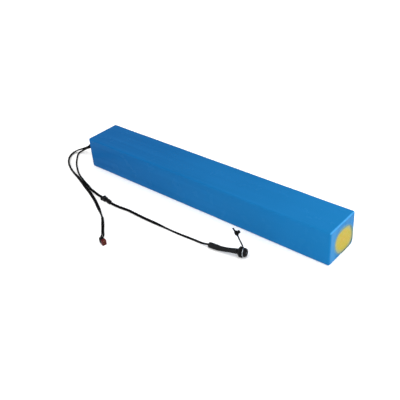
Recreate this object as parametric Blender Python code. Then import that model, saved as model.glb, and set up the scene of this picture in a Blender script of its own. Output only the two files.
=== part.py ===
"""Shrink-wrapped lithium battery pack with a discharge cable, an inline connector and a charge port.

The pack lies along X with its cable end at -X and its board end at +X. The origin is the centre of its
underside, and everything rests on the plane z = 0. Lengths are in metres.
"""

import math

import bmesh
import bpy
import numpy as np
from mathutils import Matrix, Vector

GAP = 0.0003

# The wrapped pack, from the cells outwards.
COLUMNS_PER_BRICK = 2
ROWS = 3
BRICKS = 13
CELL_DIAMETER = 0.0183
CELL_LENGTH = 0.0652
CELL_PITCH = 0.01835
CELL_SIDES = 12
STRIP_THICKNESS = 0.0003
STRIP_WIDTH = 0.007
TRAY_THICKNESS = 0.0008
FILM_THICKNESS = 0.0006
LEAD_THICKNESS = 0.0005
TOP_BOARD_THICKNESS = 0.0006
END_BOARD_THICKNESS = 0.001
BMS_SPACE = 0.03685
FILM_RADIUS = 0.0025
PACK_LENGTH = 0.518
PACK_WIDTH = CELL_LENGTH + 2 * (STRIP_THICKNESS + TRAY_THICKNESS + FILM_THICKNESS + 3 * GAP)
CELLS_BOTTOM = FILM_THICKNESS + TRAY_THICKNESS + 2 * GAP
CELLS_TOP = CELLS_BOTTOM + (ROWS - 1) * CELL_PITCH + CELL_DIAMETER
LEAD_BOTTOM = CELLS_TOP + GAP
TOP_BOARD_BOTTOM = LEAD_BOTTOM + LEAD_THICKNESS + GAP
PACK_HEIGHT = TOP_BOARD_BOTTOM + TOP_BOARD_THICKNESS + GAP + FILM_THICKNESS
END_BOARD_X = PACK_LENGTH / 2 - FILM_THICKNESS - GAP - END_BOARD_THICKNESS
FIRST_COLUMN_X = BMS_SPACE + CELL_DIAMETER / 2 - END_BOARD_X
FIRST_ROW_Z = CELLS_BOTTOM + CELL_DIAMETER / 2

# The rounded windows that the shrunk film leaves in its two ends: low and high Y and Z, and corner radius.
BOARD_WINDOW = (-0.020, 0.031, 0.0032, 0.0458, 0.0135)
CABLE_WINDOW = (-0.024, 0.024, 0.009, 0.049, 0.012)

# Cable exits, on the cable end's board.
DISCHARGE_EXIT = Vector((-0.2686, 0.004, 0.034))
CHARGE_EXIT = Vector((-0.2666, -0.006, 0.029))
GROMMET_FACE_X = -0.2606

# Cords: radii, and routes of centreline points.
DISCHARGE_RADIUS = 0.0025
CHARGE_RADIUS = 0.00155
WIRE_RADIUS = 0.0012
SLEEVE_RADIUS = 0.0038
DISCHARGE_ROUTE = [
    (-0.2689, 0.0040, 0.0340),
    (-0.2750, 0.0040, 0.0341),
    (-0.2800, 0.0036, 0.0334),
    (-0.2852, 0.0006, 0.0310),
    (-0.2905, -0.0046, 0.0260),
    (-0.2962, -0.0078, 0.0194),
    (-0.3048, -0.0100, 0.0142),
    (-0.3150, -0.0125, 0.0096),
    (-0.3236, -0.0162, 0.0062),
    (-0.3292, -0.0224, 0.0036),
    (-0.3278, -0.0322, 0.0025),
    (-0.3210, -0.0431, 0.0025),
    (-0.3121, -0.0521, 0.0025),
    (-0.3019, -0.0598, 0.0025),
    (-0.2899, -0.0668, 0.0025),
    (-0.2765, -0.0731, 0.0025),
    (-0.2595, -0.0793, 0.0025),
    (-0.2446, -0.0840, 0.0025),
    (-0.2320, -0.0886, 0.0025),
    (-0.2182, -0.0939, 0.0025),
    (-0.2046, -0.0991, 0.0025),
    (-0.1916, -0.1039, 0.0025),
    (-0.1797, -0.1088, 0.0025),
    (-0.1660, -0.1148, 0.0025),
    (-0.1550, -0.1201, 0.0025),
    (-0.1462, -0.1249, 0.0025),
    (-0.1278, -0.1351, 0.0025),
    (-0.1164, -0.1419, 0.0025),
    (-0.1083, -0.1469, 0.0025),
]
COLLAR_ROUTE = [
    (-0.1081, -0.1471, 0.0029),
    (-0.1035, -0.1508, 0.0029),
    (-0.0988, -0.1548, 0.0029),
    (-0.0943, -0.1588, 0.0029),
]
WIRE_ROUTE = [
    (-0.0941, -0.1590, 0.0026),
    (-0.0905, -0.1622, 0.0019),
    (-0.0870, -0.1655, 0.0014),
    (-0.0821, -0.1700, 0.0014),
    (-0.0764, -0.1750, 0.0019),
    (-0.0714, -0.1794, 0.0029),
    (-0.0677, -0.1840, 0.0038),
    (-0.0650, -0.1874, 0.0042),
]
WIRE_SPREAD = [0.0014, 0.0014, 0.0014, 0.0014, 0.0015, 0.0017, 0.0019, 0.0020]
CHARGE_ROUTE = [
    (-0.2669, -0.0060, 0.0290),
    (-0.2730, -0.0060, 0.0288),
    (-0.2805, -0.0058, 0.0262),
    (-0.2880, -0.0046, 0.0212),
    (-0.2962, -0.0038, 0.0152),
    (-0.3042, -0.0038, 0.0112),
    (-0.3116, -0.0055, 0.0076),
    (-0.3180, -0.0094, 0.0038),
    (-0.3210, -0.0158, 0.0018),
    (-0.3172, -0.0242, 0.0017),
    (-0.3067, -0.0355, 0.0017),
    (-0.2957, -0.0460, 0.0017),
    (-0.2837, -0.0555, 0.0017),
    (-0.2714, -0.0641, 0.0017),
    (-0.2579, -0.0722, 0.0017),
    (-0.2488, -0.0767, 0.0017),
    (-0.2346, -0.0822, 0.0018),
    (-0.2203, -0.0879, 0.0021),
    (-0.2053, -0.0931, 0.0023),
    (-0.1934, -0.0973, 0.0023),
    (-0.1827, -0.0994, 0.0023),
    (-0.1716, -0.1017, 0.0023),
    (-0.1650, -0.1027, 0.0024),
    (-0.1600, -0.1032, 0.0026),
    (-0.1555, -0.1037, 0.0027),
]
PORT_CABLE_ROUTE = [
    (-0.1313, -0.1071, 0.0027),
    (-0.1262, -0.1077, 0.0025),
    (-0.1200, -0.1078, 0.0024),
    (-0.1150, -0.1076, 0.0024),
    (-0.1085, -0.1073, 0.0024),
    (-0.1003, -0.1065, 0.0024),
    (-0.0918, -0.1055, 0.0024),
    (-0.0830, -0.1053, 0.0024),
    (-0.0715, -0.1056, 0.0024),
    (-0.0550, -0.1060, 0.0024),
    (-0.0390, -0.1059, 0.0024),
    (-0.0175, -0.1054, 0.0023),
    (0.0030, -0.1050, 0.0018),
    (0.0233, -0.1046, 0.0018),
    (0.0426, -0.1033, 0.0019),
    (0.0616, -0.1020, 0.0019),
    (0.0720, -0.1016, 0.0022),
    (0.0800, -0.1012, 0.0035),
    (0.0871, -0.1007, 0.0048),
]
PORT_SLEEVE_ROUTE = [
    (0.0874, -0.1006, 0.0048),
    (0.0960, -0.0997, 0.0048),
    (0.1050, -0.0986, 0.0050),
    (0.1150, -0.0970, 0.0060),
    (0.1250, -0.0951, 0.0076),
    (0.1305, -0.0938, 0.0083),
    (0.1353, -0.0921, 0.00845),
]
SLEEVE_FLARE = ((0.0, 1.2), (0.06, 1.24), (0.3, 1.2), (0.45, 1.04), (0.6, 1.0), (0.75, 1.0), (1.0, 1.16))

# The thin cords are thicker on both sides of the inline connector: share of length, scale of radius.
CHARGE_SWELL = ((0.0, 1.0), (0.66, 1.0), (0.8, 1.4), (1.0, 1.4))
PORT_CABLE_SWELL = ((0.0, 1.45), (0.5, 1.45), (0.6, 1.0), (0.66, 1.0))
PORT_CABLE_SWELL += ((0.72, 1.12), (0.9, 1.12), (0.96, 1.0), (1.0, 1.0))

# Inline connector: drawn along X, then turned about the joint between its halves.
INLINE_TURN = math.radians(-8)
INLINE_Y = -0.1054
INLINE_Z = 0.0027
RECEPTACLE_X = (-0.1553, -0.1438)
RECEPTACLE_SIZE = (0.0086, 0.0054)
PLUG_X = (-0.1435, -0.1315)
PLUG_SIZE = (0.0056, 0.0042)
NOSE_LENGTH = 0.007
NOSE_SIZE = (0.0052, 0.0034)
LATCH_PIVOT = Vector((-0.1395, INLINE_Y, 0.0062))

# Discharge plug, standing on its narrow side: its tail is inside the boot. The boot's sections, in the plug's
# frame, are place along and across, heading, middle's height, width, height and corner radius.
PLUG_REAR = Vector((-0.0549, -0.1927, 0.0))
PLUG_TURN = math.radians(-13)
PLUG_LENGTH = 0.004
PLUG_TAIL = 0.0053
PLUG_WIDTH = 0.0074
PLUG_HEIGHT = 0.0104
PLUG_CHAMFER = 0.0012
TAIL_INSET = 0.0007
CONTACT_SPACING = 0.0042
CONTACT_BORE = 0.0016
BOOT_SECTIONS = (
    (-0.0003, 0.0, 0, 0.0052, 0.0074, 0.0104, 0.0014),
    (-0.0059, 0.0, 0, 0.0052, 0.0074, 0.0104, 0.0014),
    (-0.0083, 0.0009, -27, 0.0049, 0.0076, 0.0092, 0.0022),
    (-0.0106, 0.0026, -36, 0.0042, 0.0072, 0.0064, 0.0022),
)

# Charge port, turned about Z; its own X runs out of the socket.
PORT_PLACE = Vector((0.1436, -0.0891, 0.00845))
PORT_TURN = math.radians(21)
FLANGE_RADIUS = 0.00845
BARREL_RADIUS = 0.00595
WASHER_RADIUS = 0.0071
NUT_RADIUS = 0.007
NUT_BORE = 0.0063
SOCKET_RADIUS = 0.0032
PORT_FRONT = 0.0066
ROUND_SIDES = 32

# Dust cap: the strap plane leans back about the port's axis, and its pivots are (along axis, radius).
STRAP_LEAN = math.radians(-15)
STRAP_PIVOT = (-0.00115, 0.0105)
STRAP_LENGTH = 0.01077
STRAP_OPEN = math.radians(119)
CAP_OPEN = math.radians(97.2)
CAP_CENTRE = (0.0081, 0.0)
CAP_RADIUS = 0.0042
RUBBER_WIDTH = 0.0034
RUBBER_THICKNESS = 0.0017
KNUCKLE_RADIUS = 0.0009

BLUE = ((0.015, 0.13, 0.5), 0.35, 0.0)
BOARD_YELLOW = ((0.75, 0.6, 0.12), 0.6, 0.0)
PAPER_GREY = ((0.35, 0.42, 0.36), 0.85, 0.0)
CELL_TEAL = ((0.05, 0.35, 0.33), 0.4, 0.0)
NICKEL = ((0.72, 0.71, 0.68), 0.3, 1.0)
COPPER = ((0.75, 0.38, 0.2), 0.35, 1.0)
BRASS = ((0.8, 0.62, 0.25), 0.3, 1.0)
ALUMINIUM = ((0.8, 0.8, 0.82), 0.4, 1.0)
CIRCUIT_GREEN = ((0.02, 0.2, 0.08), 0.4, 0.0)
RIBBON_WHITE = ((0.8, 0.8, 0.78), 0.5, 0.0)
RUBBER_BLACK = ((0.02, 0.02, 0.022), 0.6, 0.0)
PLASTIC_BLACK = ((0.025, 0.025, 0.03), 0.4, 0.0)
PLUG_RED = ((0.6, 0.02, 0.03), 0.4, 0.0)


def clear_scene():
    for obj in list(bpy.data.objects):
        bpy.data.objects.remove(obj, do_unlink=True)


def finish_material(name, finish):
    colour, roughness, metallic = finish
    material = bpy.data.materials.new(name)
    material.use_nodes = True
    shader = material.node_tree.nodes["Principled BSDF"]
    shader.inputs["Base Color"].default_value = (*colour, 1.0)
    shader.inputs["Roughness"].default_value = roughness
    shader.inputs["Metallic"].default_value = metallic
    return material


def add_object(name, data, finish, parent=None):
    """A named object with its own material, in its parent's frame if it has one."""
    obj = bpy.data.objects.new(name, data)
    bpy.context.scene.collection.objects.link(obj)
    obj.parent = parent
    if not data.materials:
        data.materials.append(finish_material(name, finish))
    return obj


def add_empty(name, place, parent=None):
    empty = bpy.data.objects.new(name, None)
    bpy.context.scene.collection.objects.link(empty)
    empty.parent = parent
    empty.location = place
    empty.empty_display_size = 0.01
    return empty


def mesh_of(shape, name="shape"):
    """A mesh from a bmesh, with its normals pointing out."""
    bmesh.ops.recalc_face_normals(shape, faces=shape.faces)
    mesh = bpy.data.meshes.new(name)
    shape.to_mesh(mesh)
    shape.free()
    return mesh


def box(low, high):
    shape = bmesh.new()
    low, high = Vector(low), Vector(high)
    scale = Matrix.Diagonal((*(high - low), 1.0))
    bmesh.ops.create_cube(shape, size=1.0, matrix=Matrix.Translation((low + high) / 2) @ scale)
    return mesh_of(shape)


def bevelled_box(low, high, radius, segments):
    shape = bmesh.new()
    shape.from_mesh(box(low, high))
    bmesh.ops.bevel(
        shape, geom=list(shape.edges), offset=radius, segments=segments, profile=0.5, affect="EDGES"
    )
    return mesh_of(shape)


def prism(outline, start, end, axis="X"):
    """A closed outline of 2-D points, extruded along one axis from start to end."""
    shape = bmesh.new()
    order = {
        "X": lambda u, v: (start, u, v),
        "Y": lambda u, v: (u, start, v),
        "Z": lambda u, v: (u, v, start),
    }
    along = {"X": Vector((1, 0, 0)), "Y": Vector((0, 1, 0)), "Z": Vector((0, 0, 1))}[axis]
    base = shape.faces.new([shape.verts.new(order[axis](u, v)) for u, v in outline])
    made = bmesh.ops.extrude_face_region(shape, geom=[base])["geom"]
    moved = [item for item in made if isinstance(item, bmesh.types.BMVert)]
    bmesh.ops.translate(shape, verts=moved, vec=along * (end - start))
    return mesh_of(shape)


def rounded_outline(low_u, high_u, low_v, high_v, radius, steps=6):
    corners = (
        (high_u - radius, high_v - radius, 0),
        (low_u + radius, high_v - radius, 90),
        (low_u + radius, low_v + radius, 180),
        (high_u - radius, low_v + radius, 270),
    )
    points = []
    for centre_u, centre_v, first in corners:
        for step in range(steps + 1):
            angle = math.radians(first + 90 * step / steps)
            points.append((centre_u + radius * math.cos(angle), centre_v + radius * math.sin(angle)))
    return points


def turned(profile, sides=ROUND_SIDES):
    """A solid turned about X from (position along X, radius) points; a radius of 0 closes it on the axis."""
    shape = bmesh.new()
    rings = []
    for along, radius in profile:
        if radius == 0:
            rings.append([shape.verts.new((along, 0, 0))])
            continue
        angles = [2 * math.pi * side / sides for side in range(sides)]
        rings.append([shape.verts.new((along, radius * math.cos(a), radius * math.sin(a))) for a in angles])
    closed = profile[0][1] != 0
    pairs = list(zip(rings, rings[1:] + rings[:1] if closed else rings[1:]))
    for first, second in pairs:
        for side in range(sides):
            after = (side + 1) % sides
            corners = [first[side % len(first)], first[after % len(first)]]
            corners += [second[after % len(second)], second[side % len(second)]]
            shape.faces.new(list(dict.fromkeys(corners)))
    return mesh_of(shape)


def moved(mesh, matrix):
    mesh.transform(matrix)
    return mesh


def combined(first, others, operation):
    """The mesh of a Boolean between a mesh and each of the others in turn."""
    body = bpy.data.objects.new("body", first)
    bpy.context.scene.collection.objects.link(body)
    helpers = []
    for other in others:
        helper = bpy.data.objects.new("helper", other)
        bpy.context.scene.collection.objects.link(helper)
        helpers.append(helper)
        modifier = body.modifiers.new("cut", "BOOLEAN")
        modifier.operation = operation
        modifier.object = helper
    graph = bpy.context.evaluated_depsgraph_get()
    result = bpy.data.meshes.new_from_object(body.evaluated_get(graph))
    result.materials.clear()
    for obj in [body, *helpers]:
        bpy.data.objects.remove(obj, do_unlink=True)
    return result


def joined(meshes):
    return combined(meshes[0], meshes[1:], "UNION")


def cut(mesh, *cutters):
    return combined(mesh, cutters, "DIFFERENCE")


def smooth(mesh, angle=40):
    mesh.shade_smooth()
    mesh.set_sharp_from_angle(angle=math.radians(angle))
    return mesh


def smooth_points(route, spacing):
    """Evenly spaced points on the natural cubic spline through a route's points."""
    knots = np.array(route, float)
    along = np.concatenate([[0], np.cumsum(np.linalg.norm(np.diff(knots, axis=0), axis=1))])
    step = np.diff(along)
    count = len(knots)
    system = np.eye(count)
    right = np.zeros((count, 3))
    for i in range(1, count - 1):
        system[i, i - 1 : i + 2] = step[i - 1], 2 * (step[i - 1] + step[i]), step[i]
        slopes = (knots[i + 1] - knots[i]) / step[i] - (knots[i] - knots[i - 1]) / step[i - 1]
        right[i] = 6 * slopes
    bend = np.linalg.solve(system, right)
    pieces = max(2, round(along[-1] / spacing))
    points = []
    for place in np.linspace(0, along[-1], pieces + 1):
        i = min(int(np.searchsorted(along, place, side="right")) - 1, count - 2)
        before, after, h = place - along[i], along[i + 1] - place, step[i]
        point = (bend[i] * after**3 + bend[i + 1] * before**3) / (6 * h)
        point += (knots[i] / h - bend[i] * h / 6) * after
        point += (knots[i + 1] / h - bend[i + 1] * h / 6) * before
        points.append(point)
    return points


def add_tube(name, route, radius, finish, diameters_per_point=2.5, resolution=2, flare=((0, 1), (1, 1))):
    """A round cord along a route. flare gives (share of the length, scale of the radius) pairs."""
    curve = bpy.data.curves.new(name, "CURVE")
    curve.dimensions = "3D"
    curve.bevel_depth = radius
    curve.bevel_resolution = resolution
    curve.use_fill_caps = True
    points = smooth_points(route, 2 * radius * diameters_per_point)
    spline = curve.splines.new("POLY")
    spline.points.add(len(points) - 1)
    for i, (spot, point) in enumerate(zip(spline.points, points)):
        spot.co = (*point, 1.0)
        spot.radius = np.interp(i / (len(points) - 1), *zip(*flare))
    spline.use_smooth = True
    return add_object(name, curve, finish)


def add_film():
    """The shrunk film: one thin skin, folded over both ends of the pack round a window in each."""
    half = Vector((PACK_LENGTH / 2, PACK_WIDTH / 2, PACK_HEIGHT / 2))
    middle = Vector((0, 0, PACK_HEIGHT / 2))
    inner = half - Vector((FILM_THICKNESS,) * 3)
    outside = bevelled_box(middle - half, middle + half, FILM_RADIUS, 3)
    inside = bevelled_box(middle - inner, middle + inner, FILM_RADIUS - FILM_THICKNESS, 3)
    reach = 0.01
    board_window = prism(rounded_outline(*BOARD_WINDOW), half.x - reach, half.x + reach)
    cable_window = prism(rounded_outline(*CABLE_WINDOW), -half.x - reach, reach - half.x)
    film = cut(outside, inside, board_window, cable_window)
    add_object("heat_shrink_sleeve", smooth(film), BLUE)


def end_board(start, end):
    """An end board's mesh. Its corners are rounded, to sit inside the film's folded edges."""
    side, low, high, radius = 0.0328, 0.0026, 0.057, 0.006
    return prism(rounded_outline(-side, side, low, high, radius, steps=4), start, end)


def add_end_boards():
    add_object("end_board_near", end_board(END_BOARD_X, END_BOARD_X + END_BOARD_THICKNESS), BOARD_YELLOW)
    board = end_board(-END_BOARD_X - END_BOARD_THICKNESS, -END_BOARD_X)
    hole = box((-0.27, -0.0105, 0.0255), (-0.25, 0.0095, 0.0385))
    add_object("end_board_cable", cut(board, hole), BOARD_YELLOW)


def add_wrapping_boards():
    length = END_BOARD_X - GAP
    outer = PACK_WIDTH / 2 - FILM_THICKNESS - GAP
    inner = outer - TRAY_THICKNESS
    low = FILM_THICKNESS + GAP
    chamfer = 0.001
    outline = [
        (-outer, TOP_BOARD_BOTTOM - GAP),
        (-outer, low + chamfer),
        (-outer + chamfer, low),
        (outer - chamfer, low),
        (outer, low + chamfer),
        (outer, TOP_BOARD_BOTTOM - GAP),
        (inner, TOP_BOARD_BOTTOM - GAP),
        (inner, low + TRAY_THICKNESS),
        (-inner, low + TRAY_THICKNESS),
        (-inner, TOP_BOARD_BOTTOM - GAP),
    ]
    add_object("insulation_tray", prism(outline, -length, length), PAPER_GREY)
    side = 0.033
    top = TOP_BOARD_BOTTOM + TOP_BOARD_THICKNESS
    add_object("top_board", box((-length, -side, TOP_BOARD_BOTTOM), (length, side, top)), BOARD_YELLOW)


def brick_mesh():
    """Six cells on a grid, bonded by glue along the lines where they meet. The first is at the origin."""
    flat_to_corner = math.pi / CELL_SIDES
    radius = CELL_DIAMETER / 2
    outline = []
    for side in range(CELL_SIDES):
        angle = 2 * math.pi * side / CELL_SIDES + flat_to_corner
        outline.append((radius * math.cos(angle), radius * math.sin(angle)))
    meshes = []
    for column in range(COLUMNS_PER_BRICK):
        for row in range(ROWS):
            cell = prism(outline, -CELL_LENGTH / 2, CELL_LENGTH / 2, axis="Y")
            offset = Matrix.Translation((column * CELL_PITCH, 0, row * CELL_PITCH))
            meshes.append(moved(cell, offset))
    glue, glue_length = 0.0012, CELL_LENGTH / 2 - 0.004
    last_x, last_z = CELL_PITCH * (COLUMNS_PER_BRICK - 1), CELL_PITCH * (ROWS - 1)
    for row in range(ROWS):
        z = row * CELL_PITCH
        meshes.append(box((0, -glue_length, z - glue), (last_x, glue_length, z + glue)))
    for column in range(COLUMNS_PER_BRICK):
        x = column * CELL_PITCH
        meshes.append(box((x - glue, -glue_length, 0), (x + glue, glue_length, last_z)))
    return joined(meshes)


def add_bricks():
    mesh = brick_mesh()
    for brick in range(BRICKS):
        obj = add_object(f"cell_brick_{brick + 1:02d}", mesh, CELL_TEAL)
        obj.location = (FIRST_COLUMN_X + brick * COLUMNS_PER_BRICK * CELL_PITCH, 0, FIRST_ROW_Z)


def strip_mesh(columns, face, tab_height=0.0):
    """A ladder of nickel on the cell ends: a bar for each column and row. face is -1 in front, 1 behind."""
    half = STRIP_WIDTH / 2
    across = sorted(c * CELL_PITCH + side * half for c in range(columns) for side in (-1, 1))
    upward = sorted(r * CELL_PITCH + side * half for r in range(ROWS) for side in (-1, 1))
    inner = face * (CELL_LENGTH / 2 + GAP)
    shape = bmesh.new()
    grid = {(u, v): shape.verts.new((u, inner, v)) for u in across for v in upward}
    for i in range(len(across) - 1):
        for j in range(len(upward) - 1):
            if i % 2 and j % 2:
                continue
            u, v = across[i : i + 2], upward[j : j + 2]
            shape.faces.new([grid[u[0], v[0]], grid[u[1], v[0]], grid[u[1], v[1]], grid[u[0], v[1]]])
    made = bmesh.ops.extrude_face_region(shape, geom=list(shape.faces))["geom"]
    raised = [item for item in made if isinstance(item, bmesh.types.BMVert)]
    bmesh.ops.translate(shape, verts=raised, vec=(0, face * STRIP_THICKNESS, 0))
    for spot in shape.verts:
        if tab_height and spot.co.z == upward[-1] and spot.co.x >= across[-2]:
            spot.co.z = tab_height
    return mesh_of(shape)


def add_strips():
    """Bricks joined in series, zigzag: odd junctions behind, even in front, a terminal at each end."""
    tab = LEAD_BOTTOM + LEAD_THICKNESS - FIRST_ROW_Z
    junction = {face: strip_mesh(2 * COLUMNS_PER_BRICK, face) for face in (-1, 1)}
    number = {-1: 1, 1: 1}
    negative = add_object("nickel_strip_front_1", strip_mesh(COLUMNS_PER_BRICK, -1), NICKEL)
    negative.location = (FIRST_COLUMN_X, 0, FIRST_ROW_Z)
    number[-1] += 1
    for brick in range(1, BRICKS):
        face = 1 if brick % 2 else -1
        side = "back" if face > 0 else "front"
        obj = add_object(f"nickel_strip_{side}_{number[face]}", junction[face], NICKEL)
        obj.location = (FIRST_COLUMN_X + (brick - 1) * COLUMNS_PER_BRICK * CELL_PITCH, 0, FIRST_ROW_Z)
        number[face] += 1
    last = strip_mesh(COLUMNS_PER_BRICK, 1, tab_height=tab)
    positive = add_object(f"nickel_strip_back_{number[1]}", last, NICKEL)
    positive.location = (FIRST_COLUMN_X + (BRICKS - 1) * COLUMNS_PER_BRICK * CELL_PITCH, 0, FIRST_ROW_Z)


def add_battery_management():
    """The protection board, its heat plate and balance harness, in the space behind the cable end's board."""
    board_x = -0.2269
    board = box((board_x - 0.0016, -0.030, 0.005), (board_x, 0.030, 0.053))
    face = board_x - 0.0016
    sink = 0.0002
    places = (-0.021, -0.010, 0.001, 0.012)
    switches = [box((face - 0.0042, y, 0.010), (face + sink, y + 0.009, 0.026)) for y in places]
    chip = box((face - 0.002, -0.006, 0.0315), (face + sink, 0.006, 0.0375))
    shunt = box((face - 0.003, 0.013, 0.034), (face + sink, 0.025, 0.040))
    add_object("bms_board", joined([board, *switches, chip, shunt]), CIRCUIT_GREEN)
    plate_x = face - 0.0042 - GAP
    plate = bevelled_box((plate_x - 0.0025, -0.023, 0.008), (plate_x, 0.023, 0.028), 0.0006, 1)
    add_object("bms_heat_plate", plate, ALUMINIUM)
    plug = box((face - 0.0075, -0.0145, 0.042), (face - GAP, -0.0005, 0.048))
    top = LEAD_BOTTOM + LEAD_THICKNESS
    rise = box((face - 0.0050, -0.014, 0.046), (face - 0.0050 + LEAD_THICKNESS, -0.001, top))
    ribbon = box((face - 0.0050, -0.014, LEAD_BOTTOM), (0.236, -0.001, top))
    add_object("balance_harness", joined([plug, rise, ribbon]), RIBBON_WHITE)


def add_inner_leads():
    """Flat leads: cells to cable along the top, cells to protection board, and protection board to cable."""
    top = LEAD_BOTTOM + LEAD_THICKNESS
    end_x, drop_x = -0.2552, -0.2410
    along = box((drop_x, 0.002, LEAD_BOTTOM), (0.2512, 0.010, top))
    pad = box((0.2432, 0.002, LEAD_BOTTOM), (0.2512, CELL_LENGTH / 2, top))
    drop = box((drop_x, 0.002, 0.03375), (drop_x + LEAD_THICKNESS, 0.010, top))
    out = box((end_x, 0.002, 0.03375), (drop_x + LEAD_THICKNESS, 0.010, 0.03425))
    add_object("positive_lead", joined([along, pad, drop, out]), COPPER)

    low, high, half = 0.014, 0.022, LEAD_THICKNESS / 2
    side = box((-0.2360, -0.0324, low), (-0.2220, -0.0324 + LEAD_THICKNESS, high))
    turn = box((-0.2360, -0.0324, low), (-0.2360 + LEAD_THICKNESS, -0.0270 + half, high))
    solder = box((-0.2360, -0.0270 - half, low), (-0.2288, -0.0270 + half, high))
    add_object("negative_lead", joined([side, turn, solder]), COPPER)

    low, high = 0.027, 0.033
    solder = box((-0.2480, 0.0270 - half, low), (-0.2288, 0.0270 + half, high))
    cross = box((-0.2480, -0.0060 - half, low), (-0.2480 + LEAD_THICKNESS, 0.0270 + half, high))
    out = box((end_x, -0.0060 - half, low), (-0.2480 + LEAD_THICKNESS, -0.0060 + half, high))
    add_object("output_lead", joined([solder, cross, out]), COPPER)


def add_grommet():
    """The rubber cable gland: a flange outside the end board, a neck through it and a spout for each cord."""
    flange_back = -PACK_LENGTH / 2 + FILM_THICKNESS
    flange_outline = rounded_outline(-0.0135, 0.0125, 0.0225, 0.0415, 0.006)
    flange = prism(flange_outline, GROMMET_FACE_X, flange_back)
    neck_outline = rounded_outline(-0.0102, 0.0092, 0.0258, 0.0382, 0.0015, steps=3)
    neck = prism(neck_outline, GROMMET_FACE_X + 0.001, -0.2555)
    spouts = []
    for tip, radius in ((DISCHARGE_EXIT, DISCHARGE_RADIUS), (CHARGE_EXIT, CHARGE_RADIUS)):
        root = GROMMET_FACE_X + 0.001 - tip.x
        profile = [(0, 0), (0, radius + 0.0007), (root * 0.7, radius + 0.0015)]
        profile += [(root, radius + 0.002), (root, 0)]
        spouts.append(moved(turned(profile, sides=16), Matrix.Translation(tip)))
    add_object("cable_grommet", smooth(joined([flange, neck, *spouts])), RUBBER_BLACK)


def add_discharge_side():
    """Sheathed cable, collar, two wires, shrink boot and the two-pole plug that they end in."""
    add_tube("discharge_cable", DISCHARGE_ROUTE, DISCHARGE_RADIUS, RUBBER_BLACK, diameters_per_point=1.6)
    add_tube("discharge_collar", COLLAR_ROUTE, 0.0029, RUBBER_BLACK, diameters_per_point=1)
    along = Vector(WIRE_ROUTE[-1]) - Vector(WIRE_ROUTE[0])
    sideways = Vector((-along.y, along.x, 0)).normalized()
    for name, side in (("discharge_wire_positive", 1), ("discharge_wire_negative", -1)):
        route = [Vector(point) + sideways * side * offset for point, offset in zip(WIRE_ROUTE, WIRE_SPREAD)]
        add_tube(name, route, WIRE_RADIUS, RUBBER_BLACK)
    axis = add_empty("discharge_plug_axis", PLUG_REAR)
    axis.rotation_euler.z = PLUG_TURN
    add_discharge_plug(axis)
    add_boot(axis)


def add_discharge_plug(axis):
    """The two-pole housing, with a slimmer tail, and a tubular contact in each of its bores."""
    half, top = PLUG_WIDTH / 2, PLUG_HEIGHT
    edge = 0.0005
    outline = [
        (-half, edge),
        (-half + edge, 0),
        (half - edge, 0),
        (half, edge),
        (half, top - PLUG_CHAMFER),
        (half - PLUG_CHAMFER, top),
        (-half + PLUG_CHAMFER, top),
        (-half, top - PLUG_CHAMFER),
    ]
    front = prism(outline, 0, PLUG_LENGTH)
    side, low, high = half - TAIL_INSET, TAIL_INSET, top - TAIL_INSET
    tail = prism(rounded_outline(-side, side, low, high, 0.0007, steps=3), -PLUG_TAIL, 0.001)
    heights = (top / 2 + CONTACT_SPACING / 2, top / 2 - CONTACT_SPACING / 2)
    bore_end = 0.001 - PLUG_TAIL
    bore = turned([(bore_end, 0), (bore_end, CONTACT_BORE), (0.006, CONTACT_BORE), (0.006, 0)], sides=20)
    bores = [moved(bore.copy(), Matrix.Translation((0, 0, height))) for height in heights]
    add_object("discharge_plug", smooth(cut(joined([front, tail]), *bores)), PLUG_RED, axis)
    start, end = bore_end + GAP, PLUG_LENGTH - 0.0008
    profile = [(start, 0), (start, 0.0013), (end, 0.0013), (end, 0.0008), (-0.001, 0.0008), (-0.001, 0)]
    for name, height in zip(("discharge_contact_positive", "discharge_contact_negative"), heights):
        contact = add_object(name, smooth(turned(profile, sides=16)), BRASS, axis)
        contact.location = (0, 0, height)


def add_boot(axis):
    """The shrink boot, from the two wires to a pocket round the housing's tail."""
    shape = bmesh.new()
    rings = []
    for along_x, across, heading, middle, width, height, radius in BOOT_SECTIONS:
        half_width, low = width / 2, middle - height / 2
        ring = rounded_outline(-half_width, half_width, low, low + height, radius, steps=3)
        turn = Matrix.Rotation(math.radians(heading), 3, "Z")
        place = Vector((along_x, across, 0))
        rings.append([shape.verts.new(place + turn @ Vector((0, y, z))) for y, z in ring])
    for first, second in zip(rings, rings[1:]):
        for i in range(len(first)):
            after = (i + 1) % len(first)
            shape.faces.new([first[i], first[after], second[after], second[i]])
    shape.faces.new(rings[0])
    shape.faces.new(rings[-1])
    side, low = PLUG_WIDTH / 2 - TAIL_INSET + GAP, TAIL_INSET - GAP
    outline = rounded_outline(-side, side, low, PLUG_HEIGHT - low, 0.001, steps=3)
    pocket = prism(outline, -PLUG_TAIL - GAP, 0.001)
    add_object("discharge_boot", smooth(cut(mesh_of(shape), pocket)), RUBBER_BLACK, axis)


def centred_box(x_range, size, centre_z=INLINE_Z):
    width, height = size
    low = (x_range[0], INLINE_Y - width / 2, centre_z - height / 2)
    high = (x_range[1], INLINE_Y + width / 2, centre_z + height / 2)
    return box(low, high)


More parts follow.
